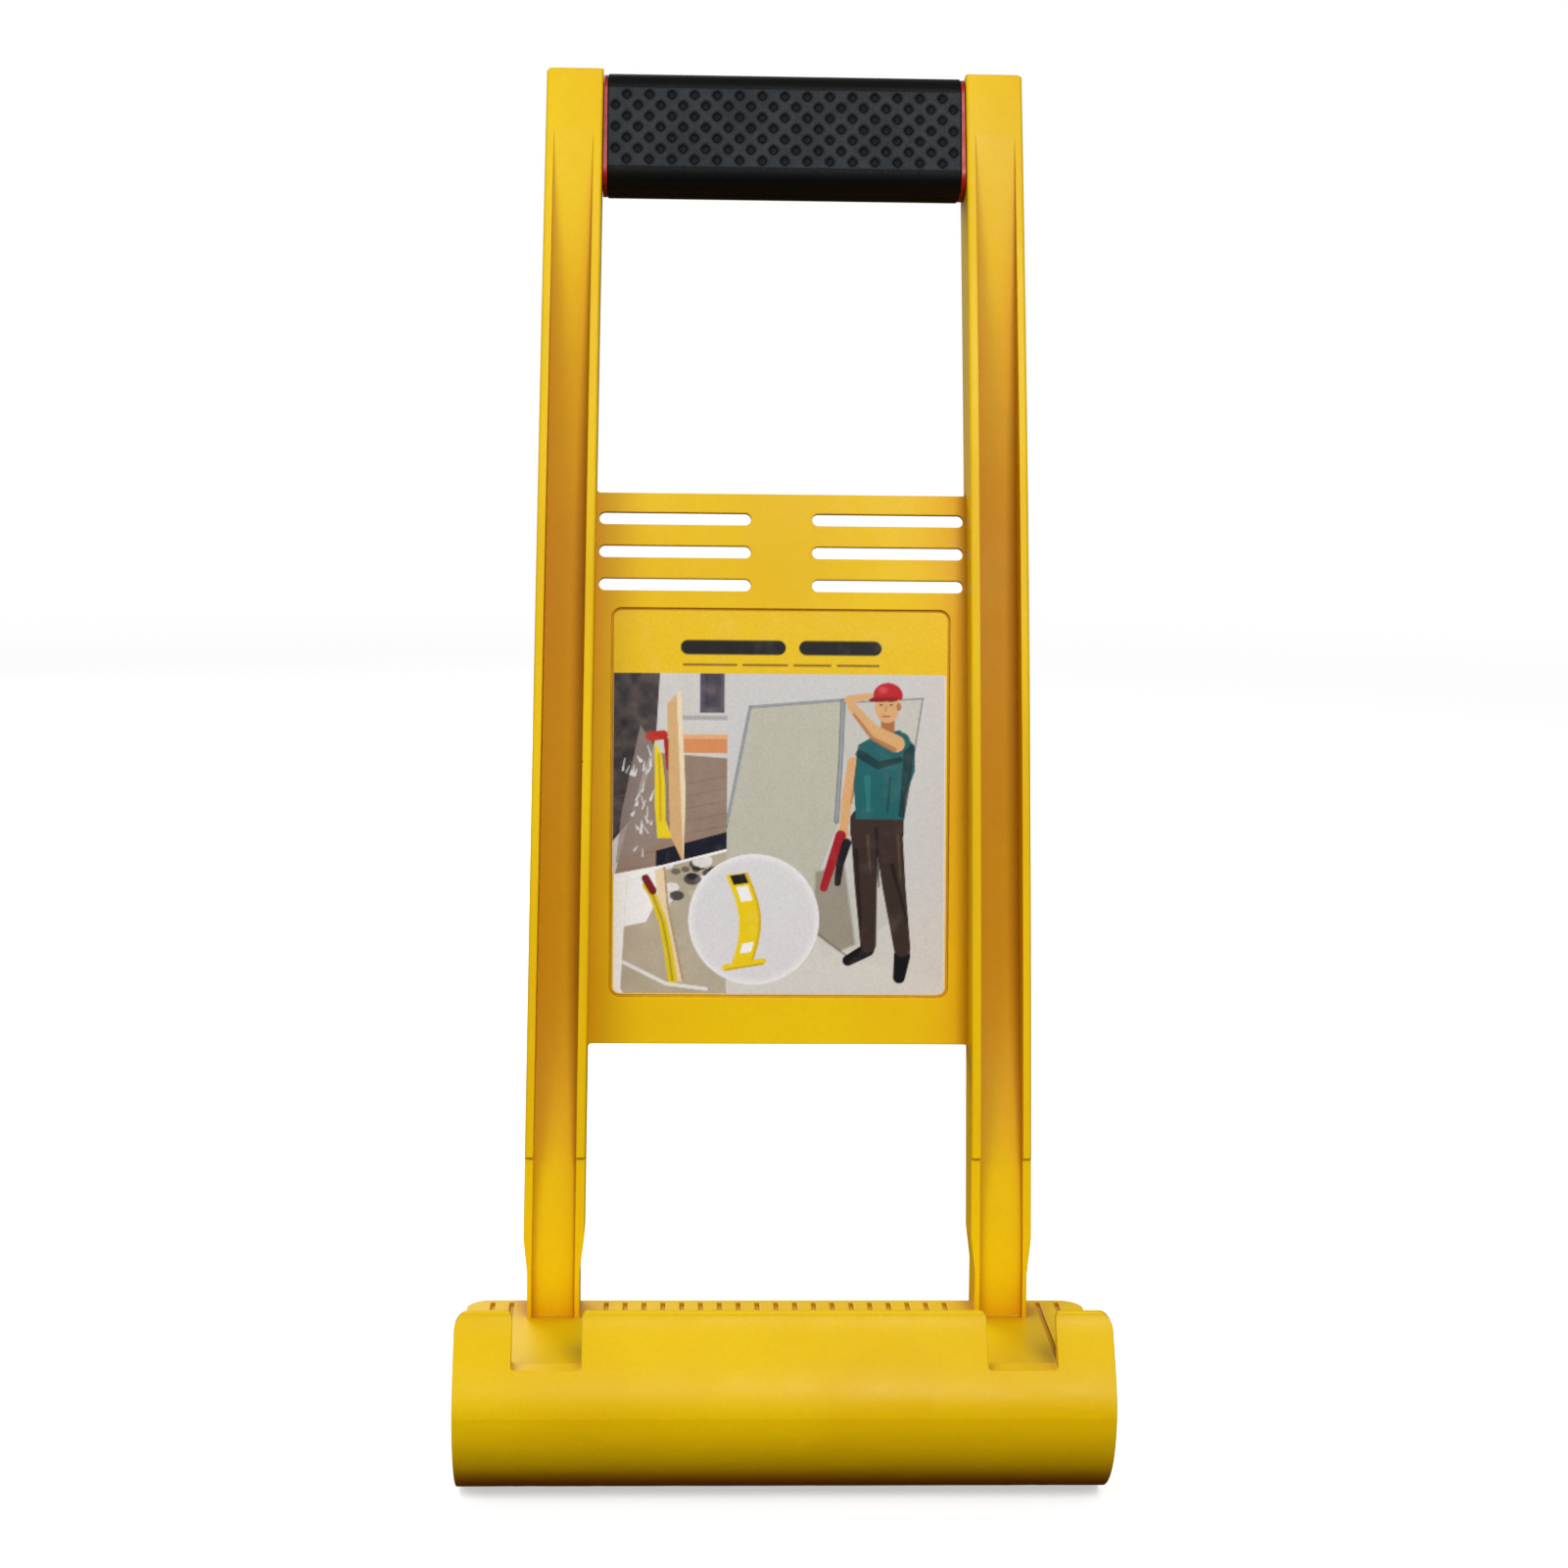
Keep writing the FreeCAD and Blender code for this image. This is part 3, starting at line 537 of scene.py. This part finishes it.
# ---- label picture ----
class Picture:
    """A colour grid over the label, in millimetres from its lower middle, painted with plain shapes."""

    def __init__(self, across, up, base):
        self.x, self.y = np.meshgrid(across, up, indexing="ij")
        self.colour = np.ones(self.x.shape + (3,)) * np.array(base[:3])
        self.clip = np.ones(self.x.shape)

    def paint(self, mask, colour, strength=1.0):
        share = (np.clip(mask, 0.0, 1.0) * self.clip * strength)[..., None]
        self.colour = self.colour * (1.0 - share) + np.array(colour[:3]) * share

    def soft(self, distance, blur=0.3):
        """Turns a signed distance, negative inside, into a mask with a fine soft edge."""
        return 1.0 - smooth_step(-blur / 2.0, blur / 2.0, distance)

    def polygon(self, corners, blur=0.3):
        """Mask of a filled outline."""
        px, py = self.x, self.y
        inside = np.zeros(px.shape, bool)
        nearest = np.full(px.shape, 1e9)
        for (ax, ay), (bx, by) in zip(corners, corners[1:] + corners[:1]):
            crosses = (ay > py) != (by > py)
            rise = by - ay if by != ay else 1e-9
            inside ^= crosses & (px < (bx - ax) * (py - ay) / rise + ax)
            nearest = np.minimum(nearest, self.to_segment(ax, ay, bx, by))
        return self.soft(np.where(inside, -nearest, nearest), blur)

    def to_segment(self, ax, ay, bx, by):
        span = (bx - ax) ** 2 + (by - ay) ** 2 + 1e-12
        share = np.clip(((self.x - ax) * (bx - ax) + (self.y - ay) * (by - ay)) / span, 0.0, 1.0)
        return np.hypot(self.x - ax - share * (bx - ax), self.y - ay - share * (by - ay))

    def box(self, left, right, low, high, radius=0.0, blur=0.3):
        dx = np.abs(self.x - (left + right) / 2.0) - (right - left) / 2.0 + radius
        dy = np.abs(self.y - (low + high) / 2.0) - (high - low) / 2.0 + radius
        outside = np.hypot(np.maximum(dx, 0.0), np.maximum(dy, 0.0))
        return self.soft(outside + np.minimum(np.maximum(dx, dy), 0.0) - radius, blur)

    def disc(self, cx, cy, rx, ry=None, blur=0.3):
        ry = rx if ry is None else ry
        reach = np.hypot((self.x - cx) / rx, (self.y - cy) / ry)
        return self.soft((reach - 1.0) * min(rx, ry), blur)

    def stroke(self, points, start, end=None, blur=0.3):
        """A limb or line through points, tapering from one half-width to another."""
        end = start if end is None else end
        mask = np.zeros(self.x.shape)
        legs = len(points) - 1
        for index, ((ax, ay), (bx, by)) in enumerate(zip(points, points[1:])):
            span = (bx - ax) ** 2 + (by - ay) ** 2 + 1e-12
            share = np.clip(((self.x - ax) * (bx - ax) + (self.y - ay) * (by - ay)) / span, 0.0, 1.0)
            width = start + (end - start) * (index + share) / legs
            away = np.hypot(self.x - ax - share * (bx - ax), self.y - ay - share * (by - ay))
            mask = np.maximum(mask, self.soft(away - width, blur))
        return mask

    def cloudiness(self, size, seed):
        """Smooth random field between 0 and 1 with features of about the given size."""
        rng = np.random.default_rng(seed)
        total = np.zeros(self.x.shape)
        weight = 0.0
        for octave in range(3):
            cell = size / 2.0**octave
            count_x = int(np.ptp(self.x) / cell) + 3
            count_y = int(np.ptp(self.y) / cell) + 3
            knots = rng.random((count_x, count_y))
            fx = (self.x - self.x.min()) / cell
            fy = (self.y - self.y.min()) / cell
            ix, iy = fx.astype(int), fy.astype(int)
            sx, sy = smooth_step(0.0, 1.0, fx - ix), smooth_step(0.0, 1.0, fy - iy)
            low = knots[ix, iy] * (1.0 - sx) + knots[ix + 1, iy] * sx
            high = knots[ix, iy + 1] * (1.0 - sx) + knots[ix + 1, iy + 1] * sx
            total += (low * (1.0 - sy) + high * sy) / 2.0**octave
            weight += 1.0 / 2.0**octave
        return total / weight


def paint_tool(picture, foot, height, lean, grip_colour):
    """A small drawing of a board carrier: bowed yellow body with two windows, a dark grip and a foot bar."""
    wide = 0.24 * height

    def at(across, up):
        bow = lean * height * (0.22 * math.sin(math.pi * min(max(up, 0.0), 1.0)) - 0.12 * up)
        return (foot[0] + across * wide + bow, foot[1] + up * height + across * 0.035 * height)

    yellow = rgb(240, 208, 20)
    steps = [index / 12.0 for index in range(13)]
    body = [at(-0.5, step) for step in steps] + [at(0.5, step) for step in reversed(steps)]
    picture.paint(picture.polygon(body), yellow)
    shade = [at(0.38, step) for step in steps] + [at(0.5, step) for step in reversed(steps)]
    picture.paint(picture.polygon(shade), rgb(206, 164, 8), 0.7)
    for low, high in ((0.13, 0.24), (0.7, 0.86)):
        window = [at(-0.26, low), at(-0.26, high), at(0.26, high), at(0.26, low)]
        picture.paint(picture.polygon(window), rgb(248, 248, 248))
    grip = [at(-0.33, 0.885), at(-0.33, 0.99), at(0.36, 0.99), at(0.36, 0.885)]
    picture.paint(picture.polygon(grip), grip_colour)
    bar = [at(-0.78, -0.01), at(0.98, 0.0)]
    picture.paint(picture.stroke(bar, 0.035 * height), yellow)
    picture.paint(picture.stroke([at(-0.74, -0.035), at(0.96, -0.025)], 0.01 * height), rgb(196, 150, 6), 0.8)


def paint_workshop(picture):
    """Left column, upper picture: a board on edge and a carrier, in a room with a window and wood floor."""
    left, right, low, high = -46.0, -14.6, 33.0, 88.4
    outline = [(left, high), (right, high), (right, 40.2), (-32.5, low + 2.6), (left, low)]
    picture.clip = picture.polygon(outline)
    picture.paint(np.ones(picture.x.shape), rgb(214, 214, 212))
    night = [(left, high), (-33.2, high), (-34.2, 70.0), (-38.0, 60.0), (-41.0, 48.0), (left, 42.0)]
    picture.paint(picture.polygon(night), rgb(16, 18, 34))
    picture.paint(picture.box(-22.2, -15.4, 77.5, high + 1.0), rgb(58, 62, 86))
    picture.paint(picture.box(-20.8, -16.4, 79.0, high + 1.0), rgb(30, 34, 62))
    picture.paint(picture.box(-27.0, right + 1.0, 75.6, 76.8), rgb(172, 172, 172))
    picture.paint(picture.box(-27.0, right + 1.0, 66.5, 71.4), rgb(222, 142, 84))
    picture.paint(picture.box(-27.0, right + 1.0, 70.4, 71.6), rgb(238, 176, 120))
    floor = [(-34.0, 66.5), (right + 1.0, 65.0), (right + 1.0, 30.0), (-46.0, 30.0), (-42.0, 46.0)]
    picture.paint(picture.polygon(floor), rgb(146, 124, 108))
    for index in range(9):
        tilt = 60.5 - 3.4 * index
        board_line = picture.stroke([(-44.0, tilt - 6.0), (-13.0, tilt)], 0.16)
        picture.paint(board_line, rgb(112, 90, 76), 0.5)
    picture.paint(picture.cloudiness(3.0, 11), rgb(182, 162, 146), 0.25)
    skirting = [(-34.0, 39.6), (-14.0, 45.0), (-14.0, 37.0), (-34.0, 33.0)]
    picture.paint(picture.polygon(skirting), rgb(18, 20, 36))
    pane = picture.polygon([(-38.5, 74.0), (-33.0, 66.0), (-33.0, 42.0), (-45.0, 36.0), (-43.5, 50.0)])
    picture.paint(pane, rgb(150, 136, 130), 0.75)
    rng = np.random.default_rng(5)
    for _ in range(26):
        start = (rng.uniform(-44.0, -35.0), rng.uniform(38.0, 66.0))
        turn = rng.uniform(0.9, 2.3)
        length = rng.uniform(1.0, 3.4)
        end = (start[0] + length * math.cos(turn), start[1] + length * math.sin(turn))
        picture.paint(picture.stroke([start, end], rng.uniform(0.15, 0.5), 0.1), rgb(236, 236, 240), 0.8)
    edge = [(-31.2, 80.0), (-27.4, 84.0), (-26.0, 56.0), (-26.4, 36.0), (-30.2, 44.0)]
    picture.paint(picture.polygon(edge), rgb(216, 176, 124))
    lit_edge = [(-28.6, 82.8), (-27.4, 84.0), (-26.0, 56.0), (-26.4, 36.0)]
    picture.paint(picture.polygon(lit_edge), rgb(240, 222, 188))
    tool = [(-34.6, 70.0), (-32.6, 66.0), (-31.6, 58.0), (-31.4, 48.0)]
    tool += [(-29.6, 43.0), (-33.6, 43.0), (-34.4, 52.0)]
    picture.paint(picture.polygon(tool), rgb(238, 210, 26))
    picture.paint(picture.stroke([(-33.4, 66.0), (-33.0, 58.0), (-32.8, 48.0)], 0.35), rgb(198, 158, 12), 0.7)
    picture.paint(picture.stroke([(-35.8, 71.0), (-32.2, 71.4)], 1.3), rgb(188, 44, 34))
    picture.paint(picture.stroke([(-31.4, 70.0), (-31.0, 62.0)], 0.7, 0.3), rgb(170, 34, 30))
    picture.clip = np.ones(picture.x.shape)


def paint_floor_view(picture):
    """Left column, lower picture: down a board's edge, with a carrier hooked under it on a tan floor."""
    outline = [(-42.0, 31.0), (-32.0, 35.0), (-14.6, 39.4), (-14.6, 0.4), (-43.6, 0.4)]
    picture.clip = picture.polygon(outline)
    picture.paint(np.ones(picture.x.shape), rgb(176, 164, 142))
    picture.paint(picture.cloudiness(5.0, 23), rgb(206, 196, 176), 0.45)
    wall = [(-46.0, 36.0), (-33.0, 36.0), (-33.6, 26.0), (-36.6, 20.0), (-46.0, 18.0)]
    picture.paint(picture.polygon(wall), rgb(244, 244, 246))
    rng = np.random.default_rng(9)
    tones = (rgb(238, 236, 234), rgb(196, 186, 170), rgb(96, 84, 78), rgb(26, 26, 34))
    for _ in range(22):
        spot = (rng.uniform(-33.0, -18.0), rng.uniform(25.0, 37.0))
        size = rng.uniform(0.5, 1.9)
        tone = tones[int(rng.integers(4))]
        picture.paint(picture.disc(spot[0], spot[1], size * 1.5, size), tone, 0.85)
    board = [(-34.6, 36.5), (-31.6, 36.5), (-30.4, 24.0), (-26.2, 3.6), (-28.4, 3.6), (-32.6, 20.0)]
    picture.paint(picture.polygon(board), rgb(236, 214, 176))
    picture.paint(picture.stroke([(-31.8, 36.0), (-30.6, 24.0), (-26.4, 4.0)], 0.25), rgb(158, 120, 76), 0.8)
    tool = [(-36.6, 30.0), (-34.6, 27.0), (-32.0, 20.0), (-30.4, 12.0), (-29.2, 4.0)]
    picture.paint(picture.stroke(tool, 1.0, 1.3), rgb(222, 198, 28))
    picture.paint(picture.stroke(tool, 0.25, 0.3), rgb(166, 140, 20), 0.8)
    picture.paint(picture.stroke([(-36.8, 32.0), (-34.8, 28.6)], 1.1), rgb(122, 26, 30))
    picture.paint(picture.stroke([(-43.0, 9.0), (-31.0, 3.0), (-20.0, 1.6)], 0.5), rgb(240, 240, 242), 0.8)
    picture.clip = np.ones(picture.x.shape)


def paint_boards(picture):
    """The main room: pale wall and floor, a big leaning board outlined in grey and one behind the worker."""
    picture.paint(picture.box(-14.6, 45.4, 0.4, 88.4), rgb(208, 207, 206))
    picture.paint(picture.box(-14.6, 45.4, 0.4, 26.0, blur=18.0), rgb(214, 210, 202), 0.7)
    far = [(17.0, 81.0), (39.4, 82.0), (37.2, 66.0), (30.0, 20.0), (20.0, 12.0)]
    picture.paint(picture.polygon(far), rgb(203, 201, 194))
    for line in ([(17.0, 80.6), (39.2, 81.9)], [(39.2, 81.9), (36.2, 62.0)]):
        picture.paint(picture.stroke(line, 0.22), rgb(126, 132, 136), 0.9)
    near = [(-8.3, 79.0), (17.4, 81.2), (16.4, 48.0), (11.0, 34.0), (9.6, 8.0), (-14.6, 22.0), (-14.6, 44.0)]
    picture.paint(picture.polygon(near), rgb(190, 188, 172))
    picture.paint(picture.polygon(near) * picture.cloudiness(2.2, 31), rgb(206, 204, 190), 0.35)
    for line, width in (
        ([(-8.4, 79.2), (17.2, 81.4)], 0.4),
        ([(-8.4, 79.2), (-14.8, 46.0)], 0.42),
        ([(17.2, 81.0), (16.6, 64.0), (15.6, 48.0)], 0.7),
    ):
        picture.paint(picture.stroke(line, width), rgb(112, 118, 124), 0.85)
        picture.paint(picture.stroke(line, width * 0.35), rgb(176, 182, 188), 0.7)
    shadow = [(10.0, 34.0), (18.0, 36.0), (21.0, 14.0), (12.0, 10.0), (9.4, 20.0)]
    picture.paint(picture.polygon(shadow, 1.2), rgb(136, 126, 106), 0.8)
    picture.paint(picture.stroke([(9.6, 17.6), (19.0, 10.6)], 0.3), rgb(96, 88, 76), 0.8)
    ground = [(-14.6, 0.4), (-14.6, 22.0), (9.6, 17.2), (19.4, 10.0), (45.4, 4.0), (45.4, 0.4)]
    picture.paint(picture.polygon(ground, 1.0), rgb(216, 213, 206), 0.9)


def paint_worker(picture):
    """A standing worker with a cap and a plain face, a forearm raised and a tool in the other hand."""
    skin = rgb(222, 172, 118)
    skin_shade = rgb(176, 112, 62)
    shirt = rgb(24, 98, 102)
    shirt_shade = rgb(12, 44, 50)
    cloth = rgb(58, 42, 36)
    cloth_shade = rgb(24, 16, 16)
    leather = rgb(14, 12, 14)
    # boots and trousers
    picture.paint(picture.stroke([(24.4, 12.6), (19.0, 9.6)], 1.9, 1.5), leather)
    picture.paint(picture.stroke([(34.0, 11.0), (33.2, 5.0)], 2.3, 1.7), leather)
    picture.paint(picture.stroke([(23.2, 48.0), (23.8, 30.0), (24.6, 14.0)], 3.9, 2.2), cloth)
    picture.paint(picture.stroke([(29.6, 48.0), (31.6, 30.0), (34.0, 13.0)], 4.1, 2.3), cloth)
    picture.paint(picture.box(19.4, 34.2, 43.0, 50.4, 1.6), cloth)
    for fold in ([(26.6, 46.0), (27.4, 30.0)], [(21.0, 40.0), (22.6, 18.0)], [(31.0, 36.0), (35.4, 20.0)]):
        picture.paint(picture.stroke(fold, 0.6, 0.25), cloth_shade, 0.8)
    for fold in ([(24.2, 44.0), (25.0, 34.0)], [(32.6, 44.0), (33.4, 32.0)]):
        picture.paint(picture.stroke(fold, 0.45, 0.2), rgb(96, 76, 62), 0.6)
    # lower arm with the tool
    picture.paint(picture.stroke([(20.2, 64.0), (18.4, 54.0), (17.6, 46.0)], 1.7, 1.2), skin)
    picture.paint(picture.stroke([(21.2, 62.0), (19.6, 53.0)], 0.5, 0.3), skin_shade, 0.7)
    picture.paint(picture.disc(17.4, 44.8, 1.6, 1.9), skin)
    picture.paint(picture.stroke([(16.8, 44.0), (14.2, 36.0), (12.2, 29.6)], 1.5, 1.1), rgb(166, 22, 34))
    picture.paint(picture.stroke([(18.4, 42.0), (16.6, 36.0), (16.0, 31.0)], 1.3, 0.9), rgb(26, 20, 28))
    # shirt
    torso = [(21.4, 69.0), (26.6, 72.0), (33.0, 73.2), (37.0, 69.0), (37.2, 62.0), (34.6, 55.0), (34.4, 48.6),
             (21.0, 48.6), (20.2, 58.0)]
    picture.paint(picture.polygon(torso), shirt)
    picture.paint(picture.stroke([(35.6, 68.0), (34.6, 58.0), (33.6, 50.0)], 1.5, 0.9), shirt_shade, 0.85)
    picture.paint(picture.stroke([(22.0, 66.5), (27.0, 63.4), (33.0, 65.0)], 1.3, 0.8), shirt_shade, 0.85)
    picture.paint(picture.stroke([(24.0, 60.0), (24.4, 51.0)], 0.9, 0.5), rgb(46, 132, 134), 0.6)
    picture.paint(picture.stroke([(30.4, 60.0), (29.6, 50.6)], 0.5, 0.3), shirt_shade, 0.6)
    # head: neck, face, ear, eyes, nose, mouth, then the cap
    picture.paint(picture.stroke([(29.6, 73.0), (29.6, 77.0)], 1.9), skin_shade)
    picture.paint(picture.disc(29.4, 79.6, 3.4, 4.5), skin)
    picture.paint(picture.disc(32.6, 79.6, 0.7, 1.1), skin_shade, 0.9)
    for eye in (27.7, 30.5):
        picture.paint(picture.disc(eye, 80.1, 0.45, 0.25), rgb(60, 40, 32))
        picture.paint(picture.stroke([(eye - 0.7, 81.0), (eye + 0.7, 81.0)], 0.16), rgb(92, 60, 40), 0.8)
    picture.paint(picture.stroke([(29.1, 79.9), (29.0, 78.5)], 0.2), skin_shade, 0.7)
    picture.paint(picture.stroke([(28.1, 76.9), (30.1, 76.9)], 0.22), rgb(168, 84, 70), 0.9)
    picture.paint(picture.disc(29.6, 82.6, 4.1, 3.6) * (picture.y > 81.4), rgb(190, 20, 34))
    picture.paint(picture.stroke([(25.0, 81.5), (31.8, 81.6)], 0.65, 0.45), rgb(140, 12, 26))
    picture.paint(picture.disc(28.2, 84.2, 1.3, 0.9, blur=1.0), rgb(226, 84, 92), 0.7)
    # raised arm across the chest to the brow
    picture.paint(picture.stroke([(33.2, 70.0), (29.0, 69.6)], 2.6, 2.4), shirt)
    picture.paint(picture.stroke([(32.0, 69.4), (25.6, 72.8), (19.6, 79.6)], 2.3, 1.3), skin)
    picture.paint(picture.stroke([(31.4, 67.8), (25.4, 70.8), (20.2, 77.4)], 0.7, 0.4), skin_shade, 0.8)
    picture.paint(picture.stroke([(18.8, 81.4), (24.6, 82.6)], 1.2, 0.8), skin)


def paint_label(across, up):
    """The whole label: header with greeked lettering, two small pictures, the worker and the round inset."""
    header = rgb(238, 196, 12)
    picture = Picture(across, up, header)
    picture.paint(picture.box(-45.6, 45.6, 0.4, 88.4, 1.0), rgb(246, 246, 246))
    paint_boards(picture)
    paint_worker(picture)
    paint_workshop(picture)
    paint_floor_view(picture)
    centre = (-7.0, 20.8)
    picture.paint(picture.disc(centre[0], centre[1], 18.0), rgb(238, 238, 240))
    picture.paint(picture.disc(centre[0], centre[1], 16.9, blur=3.0), rgb(222, 221, 224))
    paint_tool(picture, (centre[0] - 3.2, centre[1] - 12.4), 25.0, 0.55, rgb(20, 20, 24))
    # greeked heading: plain bars with the rhythm of words, then one thin line
    for left, right in ((-27.6, 1.4), (5.0, 27.8)):
        picture.paint(picture.box(left, right, 93.6, 97.6, 2.0), rgb(18, 14, 8))
    for left, right in ((-27.0, -12.0), (-10.6, 2.0), (3.4, 14.0), (15.4, 27.2)):
        picture.paint(picture.box(left, right, 90.4, 91.2, 0.3), rgb(122, 86, 14), 0.8)
    return picture.colour


def label_piece(material):
    """The sticker as a thin curved sheet, bent like the panel behind it, with a colour at every point."""
    cell = 0.3 * MM
    cloud = vertices_of("label_sheet")
    low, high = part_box("label_sheet")
    half_width = high[0]
    # circle through the sheet's front, seen from the side
    flat = cloud[:, 1:]
    fit = np.column_stack([2.0 * flat, np.ones(len(flat))])
    y0, z0, _ = np.linalg.lstsq(fit, (flat**2).sum(axis=1), rcond=None)[0]
    centre = np.array([y0, z0])
    reaches = np.hypot(*(flat - centre).T)
    outer_reach, inner_reach = reaches.max(), reaches.min()
    turns = np.arctan2(flat[:, 1] - z0, y0 - flat[:, 0])
    turn_low, turn_high = turns.min(), turns.max()
    length = outer_reach * (turn_high - turn_low)
    columns = int(2.0 * half_width / cell)
    rows = int(length / cell)
    radius = 2.3 * MM
    across = np.linspace(-1.0, 1.0, columns + 1)
    along = np.linspace(0.0, 1.0, rows + 1)
    colours = paint_label(across * half_width / MM, along * length / MM)
    up = along * length
    points = []
    for reach in (outer_reach, inner_reach):
        tall = np.minimum(up, length - up)[None, :]
        pull = radius - np.sqrt(np.maximum(radius**2 - np.maximum(radius - tall, 0.0) ** 2, 0.0))
        x = across[:, None] * (half_width - pull)
        turn = (turn_low + along * (turn_high - turn_low))[None, :]
        y = y0 - reach * np.cos(turn) + 0.0 * x
        z = z0 + reach * np.sin(turn) + 0.0 * x
        points.append(np.stack([x, y, z], axis=-1).reshape(-1, 3))
    count = (columns + 1) * (rows + 1)

    def at(sheet, column, row):
        return sheet * count + column * (rows + 1) + row

    faces = []
    for column in range(columns):
        for row in range(rows):
            lower = (at(0, column, row), at(0, column + 1, row))
            front = (*lower, at(0, column + 1, row + 1), at(0, column, row + 1))
            faces.append(front)
            faces.append(tuple(count + index for index in reversed(front)))
    for row in range(rows):
        faces.append((at(0, 0, row), at(0, 0, row + 1), at(1, 0, row + 1), at(1, 0, row)))
        side = (at(0, columns, row + 1), at(0, columns, row), at(1, columns, row), at(1, columns, row + 1))
        faces.append(side)
    for column in range(columns):
        faces.append((at(0, column + 1, 0), at(0, column, 0), at(1, column, 0), at(1, column + 1, 0)))
        side = (at(0, column, rows), at(0, column + 1, rows), at(1, column + 1, rows), at(1, column, rows))
        faces.append(side)
    piece = new_piece("label_print_sheet", np.concatenate(points), faces, material)
    layer = piece.data.color_attributes.new("print", "FLOAT_COLOR", "POINT")
    flat_colours = np.ones((2 * count, 4), np.float32)
    flat_colours[:count, :3] = colours.reshape(-1, 3)
    flat_colours[count:, :3] = (0.8, 0.8, 0.78)
    layer.data.foreach_set("color", flat_colours.ravel())
    return piece


# ---- stage ----
FLOOR_FADE_START = 0.9
FLOOR_FADE_END = 2.4
FLOOR_LIFT = 0.5
BACKDROP = 1.0
WORLD_FILL = 0.32

LIGHT_TARGET = (0.0, 0.02, 0.19)
LIGHTS = (  # name, place, size across, watts
    ("key", (0.24, -1.28, 0.95), 0.5, 13.5),
    ("fill", (-0.95, -1.0, 0.8), 0.8, 6.0),
    ("back", (-0.5, 1.3, 1.0), 0.9, 13.0),
)

CAMERA_PLACE = (-0.035, -0.8179, 0.3099)
CAMERA_YAW = math.radians(2.43)
CAMERA_PITCH = math.radians(8.71)
CAMERA_ROLL = math.radians(0.77)
CAMERA_LENS = 71.83


def make_floor():
    reach = FLOOR_FADE_END * 1.05
    sides = 96
    points = [(0.0, 0.0, 0.0)]
    for step in range(sides):
        turn = 2.0 * math.pi * step / sides
        points.append((reach * math.cos(turn), reach * math.sin(turn), 0.0))
    faces = [(0, 1 + step, 1 + (step + 1) % sides) for step in range(sides)]
    floor = new_piece("studio_floor", points, faces, floor_paper())


def make_backdrop():
    """Even white surroundings: the camera sees clean white and the object gets a dimmer fill."""
    world = bpy.data.worlds.new("studio")
    bpy.context.scene.world = world
    world.use_nodes = True
    nodes = world.node_tree.nodes
    links = world.node_tree.links
    nodes.clear()
    seen = nodes.new("ShaderNodeBackground")
    seen.inputs["Color"].default_value = (1.0, 1.0, 1.0, 1.0)
    seen.inputs["Strength"].default_value = BACKDROP
    fill = nodes.new("ShaderNodeBackground")
    fill.inputs["Color"].default_value = (1.0, 1.0, 1.0, 1.0)
    fill.inputs["Strength"].default_value = WORLD_FILL
    path = nodes.new("ShaderNodeLightPath")
    blend = nodes.new("ShaderNodeMixShader")
    output = nodes.new("ShaderNodeOutputWorld")
    links.new(path.outputs["Is Camera Ray"], blend.inputs["Fac"])
    links.new(fill.outputs["Background"], blend.inputs[1])
    links.new(seen.outputs["Background"], blend.inputs[2])
    links.new(blend.outputs["Shader"], output.inputs["Surface"])


def make_light(name, place, target, size, watts):
    lamp = bpy.data.lights.new(name, "AREA")
    lamp.shape = "DISK"
    lamp.size = size
    lamp.energy = watts
    holder = bpy.data.objects.new(name, lamp)
    holder.location = place
    holder.rotation_mode = "QUATERNION"
    holder.rotation_quaternion = (Vector(target) - Vector(place)).to_track_quat("-Z", "Y")
    bpy.context.scene.collection.objects.link(holder)


def make_lights():
    for name, place, size, watts in LIGHTS:
        make_light(name, place, LIGHT_TARGET, size, watts)


def make_camera():
    """Camera below the grip's height and left of the middle, looking slightly down and to the right."""
    yaw, pitch, roll = CAMERA_YAW, CAMERA_PITCH, CAMERA_ROLL
    forward = Vector((math.sin(yaw) * math.cos(pitch), math.cos(yaw) * math.cos(pitch), -math.sin(pitch)))
    level = Vector((math.cos(yaw), -math.sin(yaw), 0.0))
    upright = level.cross(forward)
    right = math.cos(roll) * level + math.sin(roll) * upright
    up = math.cos(roll) * upright - math.sin(roll) * level
    lens = bpy.data.cameras.new("camera")
    lens.lens = CAMERA_LENS
    lens.sensor_width = 36.0
    lens.clip_start = 0.01
    camera = bpy.data.objects.new("camera", lens)
    turn = Matrix((right, up, -forward)).transposed()
    camera.matrix_world = Matrix.Translation(CAMERA_PLACE) @ turn.to_4x4()
    bpy.context.scene.collection.objects.link(camera)
    bpy.context.scene.camera = camera


# ---- put it together ----
def give(node, material):
    """Puts one material on a carried-over CAD node."""
    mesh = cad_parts[node].data
    if not mesh.materials:
        mesh.materials.append(material)
    for index in range(len(mesh.materials)):
        mesh.materials[index] = material


give("frame_body", yellow_plastic())
red = red_plastic()
give("grip_core_front", red)
give("grip_core_rear", red)
give("grip_screws", plated_steel())

grip = Grip()
screws = vertices_of("grip_screws")
screw_pitch = (screws[:, 0].max() - screws[:, 0].min()) / 2.0 - SCREW_HEAD_RADIUS
rubber = grip_rubber()
for name, node, side, places in (
    ("grip_rubber_front", "grip_skin_front", -1, ()),
    ("grip_rubber_rear", "grip_skin_rear", 1, (-screw_pitch, 0.0, screw_pitch)),
):
    skin = grip_skin(name, grip, side, places, rubber)
    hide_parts(node)
    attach(skin, "root")

label = label_piece(printed_film())
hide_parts("label_sheet")
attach(label, "root")

make_floor()
make_backdrop()
make_lights()
make_camera()
bpy.context.scene.view_settings.view_transform = "Standard"
